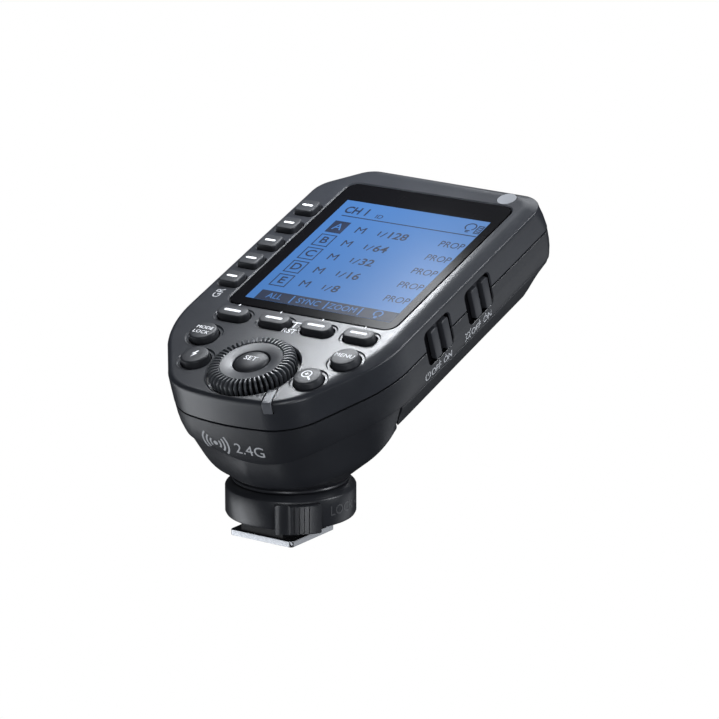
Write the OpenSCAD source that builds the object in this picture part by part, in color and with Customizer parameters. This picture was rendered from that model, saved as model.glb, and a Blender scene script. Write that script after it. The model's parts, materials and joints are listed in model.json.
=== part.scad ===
// Wireless flash trigger: a slanted control panel on a locking hot-shoe foot.
// The foot's plate lies on z = 0, centred under the lock ring's axis, which is the Z axis.
// The panel leans back by panel_tilt. Its own frame has x across the body, y along the body
// towards the far end, and z out of the screen, with z = 0 on the panel's face.

/* [Panel] */
// Lean of the control panel, in degrees
panel_tilt = 19.7; // [18:0.1:21]
// Height of the panel's face above the foot plate's underside, on the lock ring's axis
panel_h = 49.8; // [49:0.1:51]
// Right side wall, from the centre line
body_right = 30.3; // [30:0.1:31]
// Left side wall, from the centre line
body_left = 34; // [33.5:0.1:35]
// Far end wall, from the lock ring's axis along the body
body_far = 73.6; // [73.6:0.1:76]
// Near end wall, from the lock ring's axis along the body
body_near = 29.3; // [29:0.1:30]
// Depth of the parting line between the two case halves
parting_depth = 8.1; // [8:0.1:8.4]
// Depth of the side walls, down to the edge of the underside
wall_depth = 16.5; // [16:0.1:17]
// Depth of the flat underside under the battery cover
under_depth = 23.5; // [23.5:0.1:24.5]
// Wall thickness of the case halves
wall_t = 2.2; // [2:0.1:2.3]

/* [Display] */
// Width of the display window
window_w = 49.8; // [49:0.1:50.2]
// Length of the display window
window_l = 58.4; // [57:0.1:58.8]
// Distance from the lock ring's axis to the near edge of the window
window_u = 7.7; // [7.6:0.1:8.2]
// How deep the window sits below the panel's face
window_drop = 0.1; // [0.1:0.1:0.5]

/* [Buttons] */
// Height of the buttons above the panel's face
button_h = 1.5; // [1.2:0.1:1.8]
// Clearance between a button and its hole
button_gap = 0.3; // [0.2:0.05:0.35]
// Radius of the round buttons
round_r = 3.6; // [3.5:0.1:3.8]
// Distance between the centres of the function buttons
function_pitch = 12.5; // [12.2:0.1:12.8]
// Distance between the centres of the group buttons
group_pitch = 8.64; // [8.4:0.02:8.8]

/* [Dial] */
// Radius of the select dial over its ribs
dial_r = 10.9; // [10.6:0.1:11.1]
// Number of ribs on the select dial
dial_ribs = 50; // [40:1:56]
// Radius of the set button in the middle of the dial
set_r = 4.25; // [4:0.05:4.4]
// Distance from the lock ring's axis to the dial's centre
dial_u = -16.2; // [-16.6:0.1:-16]

/* [Shoe foot] */
// Width of the foot plate
plate_w = 18.6; // [18.4:0.05:18.6]
// Length of the foot plate
plate_l = 18.1; // [17.8:0.1:18.4]
// Thickness of the foot plate
plate_t = 1.6; // [1.5:0.05:1.7]
// Centre of the foot plate, from the lock ring's axis
plate_y = -3.6; // [-3.8:0.1:-3.2]
// Outer radius of the lock ring
ring_r = 16.1; // [15.8:0.1:16.3]
// Height of the lock ring's lower edge
ring_z0 = 4.5; // [4.4:0.1:4.7]
// Height of the lock ring's upper edge
ring_z1 = 12.9; // [12.7:0.1:12.9]
// Height where the case's neck ends above the lock ring
neck_z = 14.5; // [14.4:0.1:14.8]
// Radius of the case's neck
neck_r = 14.5; // [14.2:0.1:14.8]

/* [Hidden] */
$fn = 48;

tiny = 0.01;                 // thickness of the sheets that a hull joins
top_t = 3;                   // thickness of the panel's top wall
board_top = -5.6;            // upper face of the main board
board_t = 1.6;               // thickness of the main board
board_gap = 7.35;            // depth just under the main board
floor_t = 1.5;               // thickness of the lower case's floor
window_t = 1;                // thickness of the display window
lcd_gap = 0.05;              // gap between stacked display layers
lcd_w = 44;                  // width of the LCD
lcd_l = 51;                  // length of the LCD
lcd_u = 10;                  // near edge of the LCD
lcd_t = 1.3;                 // thickness of the LCD
cap_bottom = -3.6;           // underside of the button caps
flange_t = 0.8;              // thickness of a button's retaining flange
flange_top = -top_t - 0.1;   // top of a button's retaining flange
flange_out = 0.5;            // how far a retaining flange stands out
pocket_out = 0.8;            // how far a flange pocket stands out of its button hole

function_u = 2.75;           // row of the function buttons
function_size = [8.8, 4.2];  // size of a function button
group_x = -28.6;             // column of the group buttons
group_u = 16.5;              // first group button
group_size = [5.8, 5];       // size of a group button
side_xu = [21, -7];          // menu button, and the mode button on the left
front_xu = [16.7, -16.8];    // zoom button, and the test button on the left

dial_top = 2.4;              // height of the dial's ribs
dial_well_r = dial_r + 0.6;  // radius of the well around the dial
dial_floor = -2.2;           // floor of the dial's well
dial_shaft_r = 3;            // radius of the dial's shaft
dial_bore_r = 1.8;           // bore of the dial's shaft
shaft_clear = 0.05;          // radial running clearance of a shaft

pipe_xu = [12.1, -28.05];    // outer end of the status light pipe
pipe_turn = 17;              // turn of the light pipe about the panel's normal
pipe_w = 2.7;                // width of the light pipe
pipe_l = 5.6;                // length of the light pipe on the panel
pipe_drop = 3.1;             // length of the light pipe down the wall
pipe_t = 1.2;                // thickness of the light pipe

switch_us = [18.3, 37];      // centres of the power and lamp switches
switch_pocket = [11.4, 9.3]; // size of a switch pocket
switch_n = -8.1;             // depth of the switch pockets' middle
switch_floor = 28.8;         // floor of the switch pockets, from the centre line
knob_size = [8.6, 8.7];      // size of a switch knob
knob_shift = 1.2;            // how far the knob rests from the pocket's middle
stem_n = -9.8;               // depth of the switch stems

port_n = -11.8;              // depth of the sockets and the focus lamp window
cell_r = 7.1;                // radius of an AA cell
cell_l = 49.2;               // length of an AA cell without its nub
cell_n = -14.85;             // depth of the cells' axes
cell_xs = [-9.7, 5.5];       // the cells' axes across the body
cell_u = 13.7;               // near end of the cells
bay_x = [-17.4, 13.2];       // sides of the battery bay
bay_u = [11.2, 65.4];        // near and far ends of the battery bay
cover_t = 1.5;               // thickness of the battery cover
cover_travel = 6;            // travel that unlocks the battery cover
seam_u = 0.5;                // seam between the lower case and the cover, at the sides
seam_gap = 0.2;              // gap at the seam
seam_arc_u = -26;            // centre of the round seam behind the belly
seam_arc_r = 37.2;           // radius of the round seam behind the belly
rail_xs = [-22.6, 18.6];     // the cover's rails, across the body
rail_u = [16, 54];           // near and far ends of the rails

screw_xus = [[-27, 4.5], [24.2, 8.4], [-26.5, 60], [25, 65]];
boss_r = 2.2;                // radius of a screw boss
screw_r = 1;                 // radius of a case screw
screw_head_r = 1.8;          // radius of a case screw's head

core_r = 12.5;               // radius of the neck core that carries the lock ring
retainer_r = 13.4;           // radius of the disc that keeps the lock ring on
pin_y = plate_y + 6.2;       // place of the locking pin
pin_r = 1;                   // radius of the locking pin
contact_xys = [[0, 0], [-3.3, -3.2], [3.3, -3.2], [-3.3, 1.6], [3.3, 1.6]];
contact_r = 0.8;             // radius of a contact pin
contact_out = 0.4;           // how far the contact pins stand out below the plate
shoe_screw_xys = [[-4.2, -7.05], [4.2, -7.05], [-4.2, 6.7], [4.2, 6.7]];

case_grey = [0.2, 0.205, 0.22];
dark_grey = [0.13, 0.13, 0.145];
key_grey = [0.17, 0.17, 0.185];

// Puts children in the panel's frame.
module on_panel() {
    translate([0, 0, panel_h])
        rotate([panel_tilt, 0, 0])
            children();
}

// Points along an arc, counterclockwise from angle a0 to a1.
function arc(c, r, a0, a1, steps) =
    [for (i = [0 : steps])
        let (a = a0 + (a1 - a0) * i / steps)
        [c[0] + r * cos(a), c[1] + r * sin(a)]];

// Outline of the body seen square to the panel, drawn in by inset. The left side bulges out
// to carry the group buttons, and its far corner is cut off at a slant.
function outline(inset, far_r = 8) = concat(
    arc([-1, 69.3 - body_near], 69.3 - inset, -97, -83, 6),
    arc([7.6, 14.9 - body_near + 0.5], 14.8 - inset, -83, -27, 9),
    arc([body_right - 32, 5], 32 - inset, -27, 0, 6),
    arc([body_right - far_r, body_far - far_r], far_r - inset, 0, 90, 9),
    arc([-20.3, body_far - 8], 8 - inset, 90, 135, 5),
    arc([8 - body_left, body_far - 13.5], 8 - inset, 135, 180, 5),
    arc([32 - body_left, 5], 32 - inset, 180, 212, 7),
    arc([-9.8, 15 - body_near], 14.3 - inset, 212, 262, 9)
);

// Outline of the flat underside, shorter than the body and set in from its walls.
function under_outline(inset, near) = concat(
    arc([13 - body_left, near + 9], 8.3 - inset, 180, 270, 5),
    arc([body_right - 13, near + 9], 8.3 - inset, 270, 360, 5),
    arc([body_right - 10.7, body_far - 13.1], 6 - inset, 0, 90, 6),
    arc([-19.5, body_far - 12.1], 5 - inset, 90, 135, 4),
    arc([9.7 - body_left, body_far - 17.2], 5 - inset, 135, 180, 4)
);

// A thin sheet of an outline at depth n, for hulls.
module sheet(n, points) {
    translate([0, 0, n])
        linear_extrude(tiny)
            polygon(points);
}

// A rounded rectangle, centred.
module round_rect(size, r) {
    x = size[0] / 2 - r;
    y = size[1] / 2 - r;
    polygon(concat(
        arc([x, y], r, 0, 90, 6), arc([-x, y], r, 90, 180, 6),
        arc([-x, -y], r, 180, 270, 6), arc([x, -y], r, 270, 360, 6)));
}

// A block of a rounded rectangle from depth n0 to n1.
module slab(size, r, n0, n1) {
    translate([0, 0, n0])
        linear_extrude(n1 - n0)
            round_rect(size, r);
}

// A box given by its lowest and highest corners.
module box(low, high) {
    translate(low)
        cube(high - low);
}

// A cylinder along the panel's normal from depth n0 to n1.
module post(r, n0, n1) {
    translate([0, 0, n0])
        cylinder(r = r, h = n1 - n0);
}

// A coil spring along z: a wire of eight sides swept along a helix.
function coil_point(r, wire, turns, h, i, j, steps) =
    let (a = 360 * turns * i / steps, b = 45 * j)
    [(r + wire * cos(b)) * cos(a), (r + wire * cos(b)) * sin(a), h * i / steps + wire * sin(b)];

module coil(r, wire, turns, h) {
    steps = turns * 12;
    sides = 8;
    points = [for (i = [0 : steps]) for (j = [0 : sides - 1])
        coil_point(r, wire, turns, h, i, j, steps)];
    skin = [for (i = [0 : steps - 1]) for (j = [0 : sides - 1])
        let (a = i * sides + j, b = i * sides + (j + 1) % sides)
        each [[a, b, b + sides], [a, b + sides, a + sides]]];
    near_end = [[for (j = [0 : sides - 1]) sides - 1 - j]];
    far_end = [[for (j = [0 : sides - 1]) steps * sides + j]];
    polyhedron(points, concat(skin, near_end, far_end));
}

module window_place() {
    translate([0, window_u + window_l / 2, 0])
        children();
}

module lcd_place() {
    translate([-0.4, lcd_u + lcd_l / 2, 0])
        children();
}

module function_place(i) {
    translate([(i - 2.5) * function_pitch, function_u, 0])
        children();
}

module group_place(i) {
    translate([group_x, group_u + (i - 1) * group_pitch, 0])
        children();
}

// The light pipe's side profile, grown by grow, stood across the front edge.
module pipe_shape(grow) {
    c = 0.8;
    translate([pipe_xu[0], pipe_xu[1], 0])
        rotate([0, 0, pipe_turn])
            translate([-pipe_w / 2 - grow, 0, 0])
                rotate([90, 0, 90])
                    linear_extrude(pipe_w + 2 * grow)
                        polygon([
                            [-grow - 0.35, -pipe_drop - grow], [-grow - 0.35, grow - c],
                            [c - 0.35, grow], [pipe_l + grow, grow],
                            [pipe_l + grow, -pipe_t - grow], [pipe_t + grow, -pipe_t - grow],
                            [pipe_t + grow, -pipe_drop - grow]]);
}

// The pocket, the knob's stem slot and the gap for one side switch.
module switch_cut(u) {
    translate([switch_floor, u, switch_n])
        rotate([90, 0, 90])
            linear_extrude(6)
                round_rect(switch_pocket, 1.2);
    box([switch_floor - 4, u - 2.6, stem_n - 1], [switch_floor + 1, u + 2.6, stem_n + 1]);
}

module side_cuts() {
    for (u = switch_us) {
        switch_cut(u);
    }
}

// Outer form of the case half above the parting line.
module upper_form() {
    hull() {
        sheet(-tiny, outline(0.9, 8));
        sheet(-0.8, outline(0.12, 7.5));
        sheet(-parting_depth, outline(0, 5));
    }
}

// The band of wall below the parting line.
module band_form() {
    hull() {
        sheet(-parting_depth - 0.15, outline(0.1, 5));
        sheet(-wall_depth + 4, outline(0.15, 5));
        sheet(-wall_depth, outline(0.5, 5));
    }
}

// The battery tier under the band, with its slanted sides.
module tier_form() {
    hull() {
        sheet(-wall_depth - 0.2, outline(1.3, 5));
        sheet(-under_depth, under_outline(0, -17));
    }
}

module tier_hollow() {
    hull() {
        sheet(-wall_depth, outline(2.8, 4));
        sheet(-under_depth + cover_t, under_outline(cover_t, -17));
    }
}

// The belly: a funnel from the near end of the walls down to the round neck.
module belly_form(inset) {
    hull() {
        near_part(-4)
            sheet(-wall_depth + inset, outline(0.5 + inset, 5));
        sheet(-wall_depth - 2.2 + inset, arc([-1, 69.3 - body_near], 68.5 - inset, -95, -82, 6));
        intersection() {
            sheet(-under_depth + inset, under_outline(inset, -17));
            translate([0, seam_arc_u, 0])
                post(seam_arc_r - 2 - inset, -40, 0);
        }
        neck_disc(inset);
    }
}

// The side of the seam that belongs to the lower case: everything near, and a round bay
// around the belly. The battery cover starts where it ends.
module seam_side(gap) {
    box([-40, -60, -60], [40, seam_u - gap, -wall_depth + tiny]);
    translate([0, seam_arc_u, 0])
        post(seam_arc_r - gap, -60, -wall_depth + tiny);
}

// The part of its children that lies nearer than u.
module near_part(u) {
    intersection() {
        children();
        box([-40, -40, -40], [40, u, 0]);
    }
}

// The neck's round end, in the panel's frame.
module neck_disc(inset) {
    rotate([-panel_tilt, 0, 0])
        translate([0, 0, neck_z - panel_h + inset])
            cylinder(r = neck_r - inset, h = 0.6, $fn = 36);
}

module upper_case() {
    color(case_grey)
        on_panel()
            difference() {
                union() {
                    difference() {
                        upper_form();
                        translate([0, 0, -parting_depth - 1])
                            linear_extrude(parting_depth + 1 - top_t)
                                polygon(outline(wall_t, 5));
                    }
                    for (xu = screw_xus) {
                        translate([xu[0], xu[1], 0])
                            post(boss_r, -parting_depth + 0.1, -top_t + 0.1);
                    }
                }
                window_place()
                    slab([window_w + 0.2, window_l + 0.2], 3, -window_drop - window_t, 1);
                lcd_place()
                    slab([lcd_w + 0.2, lcd_l + 0.2], 0.6, -9, 1);
                for (i = [1 : 4]) {
                    function_place(i)
                        key_hole(function_size, 2);
                }
                for (i = [1 : 5]) {
                    group_place(i)
                        key_hole(group_size, 1.1);
                }
                for (side = [-1, 1]) {
                    translate([side * side_xu[0], side_xu[1], 0])
                        round_hole();
                    translate([side * front_xu[0], front_xu[1], 0])
                        round_hole();
                }
                translate([0, dial_u, 0]) {
                    post(dial_well_r, dial_floor, 1);
                    post(dial_shaft_r + shaft_clear, -9, 1);
                }
                pipe_shape(0.05);
                translate([20.4, 69.2, -0.6])
                    scale([1, 0.6, 1])
                        cylinder(r = 2.95, h = 2);
                side_cuts();
                for (xu = screw_xus) {
                    translate([xu[0], xu[1], 0])
                        post(screw_r + 0.05, -9, -4.2);
                }
            }
}

// Hole for a cornered button, with a pocket for its flange.
module key_hole(size, r) {
    gap = [2 * button_gap, 2 * button_gap];
    out = [2 * pocket_out, 2 * pocket_out];
    slab(size + gap, r + button_gap, -9, 1);
    slab(size + out, r, -9, -top_t);
}

// Hole for a round button, with a chamfered rim and a pocket for its flange.
module round_hole() {
    post(round_r + button_gap, -9, 1);
    post(round_r + pocket_out + 0.1, -9, -top_t);
    translate([0, 0, -0.6])
        cylinder(r1 = round_r + button_gap, r2 = round_r + 1.2, h = 1);
}

module lower_case() {
    color(dark_grey)
        difference() {
            union() {
                on_panel() {
                    difference() {
                        band_form();
                        translate([0, 0, -wall_depth + floor_t])
                            linear_extrude(20)
                                polygon(outline(wall_t + 0.3, 5));
                    }
                    intersection() {
                        tier_form();
                        seam_side(seam_gap / 2);
                    }
                    for (xu = screw_xus) {
                        translate([xu[0], xu[1], 0])
                            post(boss_r, -wall_depth + 0.1, -parting_depth - 0.15);
                    }
                }
                on_panel()
                    belly_form(0);
            }
            on_panel() {
                belly_form(2);
                near_part(4)
                    tier_hollow();
                bay_cut();
                side_cuts();
                port_cuts();
                rail_cuts();
                for (xu = screw_xus) {
                    translate([xu[0], xu[1], 0]) {
                        post(screw_r + 0.1, -30, 0);
                        post(screw_head_r + 0.15, -30, -wall_depth + 1.2);
                    }
                }
            }
            translate([0, 0, neck_z - 1])
                cylinder(r = core_r + 0.1, h = 6);
        }
    color(dark_grey)
        on_panel()
            bay_walls();
}

// Opening in the floor that the two cells drop through.
module bay_cut() {
    box([bay_x[0], bay_u[0], -40], [bay_x[1], bay_u[1], -wall_depth + floor_t + 1]);
}

// Walls around the cells, standing on the floor's edge.
module bay_walls() {
    top = -board_gap;
    low = -wall_depth + 0.1;
    box([bay_x[0] - 1.2, bay_u[0] - 1.2, low], [bay_x[0], bay_u[1] + 1.2, top]);
    box([bay_x[1], bay_u[0] - 1.2, low], [bay_x[1] + 1.2, bay_u[1] + 1.2, top]);
    box([bay_x[0] - 0.1, bay_u[0] - 1.2, low], [bay_x[1] + 0.1, bay_u[0], top]);
    box([bay_x[0] - 0.1, bay_u[1], low], [bay_x[1] + 0.1, bay_u[1] + 1.2, top]);
}

// Grooves in the floor that the battery cover's rails run in.
module rail_cuts() {
    for (x = rail_xs) {
        box([x - 0.8, rail_u[0] - 0.3, -wall_depth - 1],
            [x + 0.8, rail_u[1] + cover_travel + 0.3, -wall_depth + 1.1]);
    }
}

module port_cuts() {
    // USB socket
    translate([-body_left - 1, 20, port_n])
        rotate([90, 0, 90])
            linear_extrude(6)
                round_rect([9.6, 3.9], 1.6);
    // Sync socket
    translate([-body_left - 1, 36, port_n])
        rotate([0, 90, 0])
            cylinder(r = 3.1, h = 6);
    // Focus lamp window at the far end
    translate([-2, body_far - 4, port_n])
        rotate([-90, 0, 0])
            linear_extrude(6)
                round_rect([15.2, 6.2], 2);
}

// The battery cover is the whole tier beyond the seam: a tray that slides off the far end.
module battery_cover() {
    color(dark_grey)
        on_panel() {
            difference() {
                tier_form();
                tier_hollow();
                seam_side(-seam_gap / 2);
            }
            for (x = rail_xs) {
                box([x - 0.5, rail_u[0], -under_depth + 0.5], [x + 0.5, rail_u[1], -wall_depth + 0.8]);
            }
        }
}

module display_window() {
    color([0.03, 0.03, 0.035, 0.5])
        on_panel()
            window_place()
                slab([window_w, window_l], 2.9, -window_drop - window_t + lcd_gap, -window_drop);
}

module lcd_panel() {
    top = -window_drop - window_t - lcd_gap;
    color([0.33, 0.55, 0.85])
        on_panel()
            lcd_place()
                slab([lcd_w, lcd_l], 0.5, top - lcd_t, top);
}

module backlight() {
    top = -window_drop - window_t - lcd_t - 3 * lcd_gap;
    color("white")
        on_panel()
            lcd_place()
                slab([lcd_w, lcd_l], 0.5, board_top + 0.1, top);
}

module main_board() {
    color([0.05, 0.3, 0.15])
        on_panel()
            translate([0, 0, board_top - board_t])
                linear_extrude(board_t)
                    difference() {
                        polygon(outline(wall_t + 1, 5));
                        for (xu = screw_xus) {
                            translate(xu)
                                circle(r = boss_r + 0.4);
                        }
                    }
}

// Dome switches on the board, one under each button.
module tact_switches() {
    h = 0.75;
    color([0.75, 0.75, 0.72])
        on_panel() {
            for (i = [1 : 4]) {
                function_place(i)
                    slab([4, 3], 0.3, board_top, board_top + h);
            }
            for (i = [1 : 5]) {
                group_place(i)
                    translate([0.6, 0, 0])
                        slab([4, 3], 0.3, board_top, board_top + h);
            }
            for (side = [-1, 1]) {
                translate([side * side_xu[0], side_xu[1], 0])
                    slab([4, 3], 0.3, board_top, board_top + h);
                translate([side * front_xu[0], front_xu[1], 0])
                    slab([4, 3], 0.3, board_top, board_top + h);
            }
            translate([0, dial_u, 0])
                post(1.6, board_top, board_top + 0.6);
        }
}

module radio_module() {
    color([0.7, 0.72, 0.74])
        on_panel()
            translate([0, -8, 0]) {
                slab([22, 15], 0.5, board_top - board_t - 1, board_top - board_t);
                slab([15, 11], 0.8, board_top - board_t - 3.2, board_top - board_t - 1);
            }
}

module antenna() {
    color([0.8, 0.65, 0.3])
        on_panel()
            box([-14, 67.6, -14.6], [11, 68.2, -8.8]);
}

// A cornered button: crowned cap, body and retaining flange.
module cap_key(size, r) {
    out = [2 * flange_out, 2 * flange_out];
    color(key_grey) {
        hull() {
            slab(size - [1, 1], r - 0.4, button_h - 0.1, button_h);
            slab(size, r, button_h - 0.7, button_h - 0.6);
        }
        slab(size, r, cap_bottom, button_h - 0.6);
        slab(size + out, r, flange_top - flange_t, flange_top);
    }
}

module group_button(i) {
    on_panel()
        group_place(i)
            cap_key(group_size, 1.1);
}

module function_button(i) {
    on_panel()
        function_place(i)
            cap_key(function_size, 2);
}

// A round button with a rounded rim.
module round_button(x, u) {
    rim = 0.6;
    color(key_grey)
        on_panel()
            translate([x, u, 0])
                rotate_extrude()
                    polygon(concat(
                        [[0, cap_bottom - 0.3], [round_r + flange_out, cap_bottom - 0.3],
                         [round_r + flange_out, flange_top], [round_r, flange_top]],
                        arc([round_r - rim, button_h - rim], rim, 0, 90, 6),
                        [[0, button_h + 0.1]]));
}

module mode_button() {
    round_button(-side_xu[0], side_xu[1]);
}

module menu_button() {
    round_button(side_xu[0], side_xu[1]);
}

module test_button() {
    round_button(-front_xu[0], front_xu[1]);
}

module zoom_button() {
    round_button(front_xu[0], front_xu[1]);
}

// The set button: a domed head on a stem that runs in the dial's shaft.
module set_button() {
    stem_r = dial_bore_r - 0.08;
    color(key_grey)
        on_panel()
            translate([0, dial_u, 0])
                rotate_extrude()
                    polygon(concat(
                        [[0, -4.3], [stem_r, -4.3], [stem_r, 0.7], [set_r, 0.7], [set_r, 1.9]],
                        arc([0, -7.8], 10.7, 68, 90, 8)));
}

// The select dial: a ribbed ring round a dished disc, on a hollow shaft.
module select_dial() {
    color(key_grey)
        on_panel()
            translate([0, dial_u, 0]) {
                rotate_extrude()
                    polygon([
                        [dial_bore_r, -5], [dial_shaft_r, -5], [dial_shaft_r, dial_floor + 0.1],
                        [dial_r - 1, dial_floor + 0.1], [dial_r - 0.6, 0], [dial_r - 0.6, 1.2],
                        [dial_r - 1.6, dial_top - 0.3], [dial_r - 2.8, dial_top - 0.3],
                        [dial_r - 3.1, 1.3], [set_r + 0.3, 1.5], [set_r + 0.3, -0.1],
                        [dial_bore_r, -0.1]]);
                for (i = [0 : dial_ribs - 1]) {
                    rotate([0, 0, 360 / dial_ribs * i])
                        dial_rib();
                }
            }
}

// One rib of the dial, over the ring's top and down its side.
module dial_rib() {
    w = 0.62;
    translate([0, w / 2, 0])
        rotate([90, 0, 0])
            linear_extrude(w)
                polygon([
                    [dial_r - 3, 1.4], [dial_r - 1.4, 1.4], [dial_r - 1.2, -0.5],
                    [dial_r - 0.2, -0.5], [dial_r, 0.2], [dial_r, dial_top - 1.2],
                    [dial_r - 1.2, dial_top], [dial_r - 2.9, dial_top]]);
}

module dial_encoder() {
    color([0.25, 0.3, 0.28])
        on_panel()
            translate([0, dial_u, 0])
                difference() {
                    slab([11.6, 11.6], 0.8, board_top, -top_t - 0.1);
                    post(dial_shaft_r + shaft_clear, -9, 0);
                }
}

module status_light_pipe() {
    color([0.6, 0.62, 0.65])
        on_panel()
            pipe_shape(0);
}

module corner_inlay() {
    color([0.7, 0.71, 0.72])
        on_panel()
            translate([20.4, 69.2, -0.55])
                scale([1, 0.6, 1])
                    cylinder(r = 2.9, h = 0.55);
}

// A side switch knob: a plate with a raised finger rib, and a stem through the case wall.
module switch_knob(u) {
    color(key_grey)
        on_panel()
            translate([0, u + knob_shift, 0]) {
                translate([switch_floor + 0.1, 0, switch_n])
                    rotate([90, 0, 90])
                        linear_extrude(1.3)
                            round_rect(knob_size, 0.8);
                translate([switch_floor + 0.1, 2.1, switch_n])
                    rotate([90, 0, 90])
                        linear_extrude(2.6)
                            round_rect([3.6, knob_size[1] - 0.2], 0.7);
                box([switch_floor - 2.2, -1.1, stem_n - 0.7],
                    [switch_floor + 0.2, 1.1, stem_n + 0.7]);
            }
}

module power_switch() {
    switch_knob(switch_us[0]);
}

module lamp_switch() {
    switch_knob(switch_us[1]);
}

module switch_bodies() {
    color([0.6, 0.62, 0.62])
        on_panel()
            for (u = switch_us) {
                box([20.8, u - 4.4, stem_n - 2], [switch_floor - 2.3, u + 4.4, board_top - board_t]);
            }
}

module af_window() {
    color([0.45, 0.03, 0.05, 0.7])
        on_panel()
            translate([-2, body_far - 1.8, port_n])
                rotate([-90, 0, 0])
                    linear_extrude(1.4)
                        round_rect([15, 6], 1.9);
}

module af_led() {
    color([0.85, 0.2, 0.2])
        on_panel()
            translate([-2, body_far - 5, port_n])
                rotate([-90, 0, 0]) {
                    cylinder(r = 1.9, h = 0.9);
                    cylinder(r = 1.5, h = 3);
                }
}

// USB-C socket: a shell with its tongue.
module usb_port() {
    color([0.75, 0.76, 0.78])
        on_panel()
            translate([-body_left + 0.5, 20, port_n])
                rotate([90, 0, 90]) {
                    difference() {
                        linear_extrude(7)
                            round_rect([9.3, 3.6], 1.5);
                        translate([0, 0, -1])
                            linear_extrude(7.2)
                                round_rect([8.4, 2.6], 1.2);
                    }
                    translate([0, 0, 1.2])
                        linear_extrude(5.2)
                            round_rect([6.7, 0.7], 0.2);
                }
}

// Sync socket for a 2.5 mm plug.
module sync_jack() {
    color([0.08, 0.08, 0.08])
        on_panel()
            translate([-body_left + 0.4, 36, port_n])
                rotate([0, 90, 0])
                    difference() {
                        cylinder(r = 3, h = 11);
                        translate([0, 0, -1])
                            cylinder(r = 1.3, h = 11);
                    }
}

// An AA cell with its positive nub towards dir.
module cell(x, dir) {
    color([0.55, 0.57, 0.3])
        on_panel()
            translate([x, cell_u + cell_l / 2, cell_n])
                rotate([-90 * dir, 0, 0])
                    translate([0, 0, -cell_l / 2]) {
                        cylinder(r = cell_r, h = cell_l);
                        cylinder(r = 2.7, h = cell_l + 1.2);
                    }
}

module battery_1() {
    cell(cell_xs[0], 1);
}

module battery_2() {
    cell(cell_xs[1], -1);
}

module battery_springs() {
    color([0.8, 0.8, 0.78])
        on_panel() {
            translate([cell_xs[0], cell_u - 0.35, cell_n])
                rotate([90, 0, 0])
                    coil(3.2, 0.3, 2, 1.3);
            translate([cell_xs[1], cell_u + cell_l + 0.35, cell_n])
                rotate([-90, 0, 0])
                    coil(3.2, 0.3, 2, 1.3);
        }
}

module battery_plates() {
    color([0.8, 0.8, 0.78])
        on_panel()
            for (x = cell_xs) {
                box([x - 5, bay_u[0] + 0.05, cell_n - 1.5], [x + 5, bay_u[0] + 0.4, cell_n + 6]);
                box([x - 5, bay_u[1] - 0.4, cell_n - 1.5], [x + 5, bay_u[1] - 0.05, cell_n + 6]);
            }
}

// The neck: a collar under the case and a round core that the lock ring turns on.
module foot_neck() {
    color([0.1, 0.1, 0.11])
        difference() {
            rotate_extrude()
                polygon([
                    [0, ring_z0 + 1], [core_r, ring_z0 + 1], [core_r, ring_z1 + 0.1],
                    [neck_r - 0.9, ring_z1 + 0.1], [neck_r - 0.2, ring_z1 + 0.6],
                    [neck_r - 0.2, neck_z - 0.05], [core_r, neck_z - 0.05],
                    [core_r, neck_z + 3], [9, neck_z + 3], [9, 8], [0, 8]]);
            foot_bores();
        }
}

// Bores for the locking pin, the contact pins and the shoe screws.
module foot_bores() {
    translate([0, pin_y, -5])
        cylinder(r = pin_r + shaft_clear, h = 30);
    translate([0, plate_y, -5]) {
        for (xy = contact_xys) {
            translate(xy)
                cylinder(r = contact_r + shaft_clear, h = 11);
        }
        for (xy = shoe_screw_xys) {
            translate(xy)
                cylinder(r = 0.95, h = 12.6);
        }
    }
}

// The lock ring: a chamfered ring with one ribbed finger tab.
module lock_ring() {
    color([0.14, 0.14, 0.155])
        difference() {
            union() {
                rotate_extrude($fn = 96)
                    polygon([
                        [core_r + shaft_clear, ring_z0 + 1.1], [retainer_r + 0.3, ring_z0 + 1.1],
                        [retainer_r + 0.3, ring_z0], [ring_r - 0.5, ring_z0],
                        [ring_r, ring_z0 + 0.5], [ring_r, ring_z1 - 1.2],
                        [ring_r - 0.9, ring_z1], [core_r + shaft_clear, ring_z1]]);
                ring_tab();
            }
            for (a = [-42.5 : 3.6 : -31]) {
                rotate([0, 0, a - 9])
                    translate([ring_r + 1.3, -0.28, 0])
                        cube([2, 0.56, 20]);
            }
        }
}

// The finger tab: a raised arc block with a smooth scoop before its ribs.
module ring_tab() {
    translate([0, 0, ring_z0 - 0.7])
        linear_extrude(ring_z1 - ring_z0 + 0.1)
            difference() {
                polygon(concat(
                    arc([0, 0], ring_r + 1.6, -67, -30.5, 12),
                    arc([0, 0], ring_r - 1, -30.5, -67, 12)));
                translate([(ring_r + 3) * cos(-61.5), (ring_r + 3) * sin(-61.5)])
                    circle(r = 2.4);
            }
}

// Retainer under the lock ring, with the narrow stem that passes between the shoe's rails.
module ring_retainer() {
    color([0.07, 0.07, 0.075])
        difference() {
            union() {
                translate([0, 0, ring_z0])
                    cylinder(r = retainer_r, h = 1);
                translate([-6.2, plate_y - plate_l / 2 + 0.6, plate_t])
                    cube([12.4, plate_l - 1.2, ring_z0 - plate_t + tiny]);
            }
            foot_bores();
        }
}

module shoe_plate() {
    color([0.82, 0.83, 0.85])
        translate([0, plate_y, 0])
            difference() {
                slab([plate_w, plate_l], 1, 0, plate_t);
                translate([0, -0.8, 0])
                    slab([10.2, 8.8], 1, -1, plate_t + 1);
                translate([0, pin_y - plate_y, -1])
                    cylinder(r = pin_r + shaft_clear, h = 5);
                for (xy = shoe_screw_xys) {
                    translate([xy[0], xy[1], -1])
                        cylinder(r = 0.95, h = 5);
                    translate([xy[0], xy[1], -tiny])
                        cylinder(r1 = 1.75, r2 = 0.95, h = 0.9);
                }
            }
}

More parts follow.
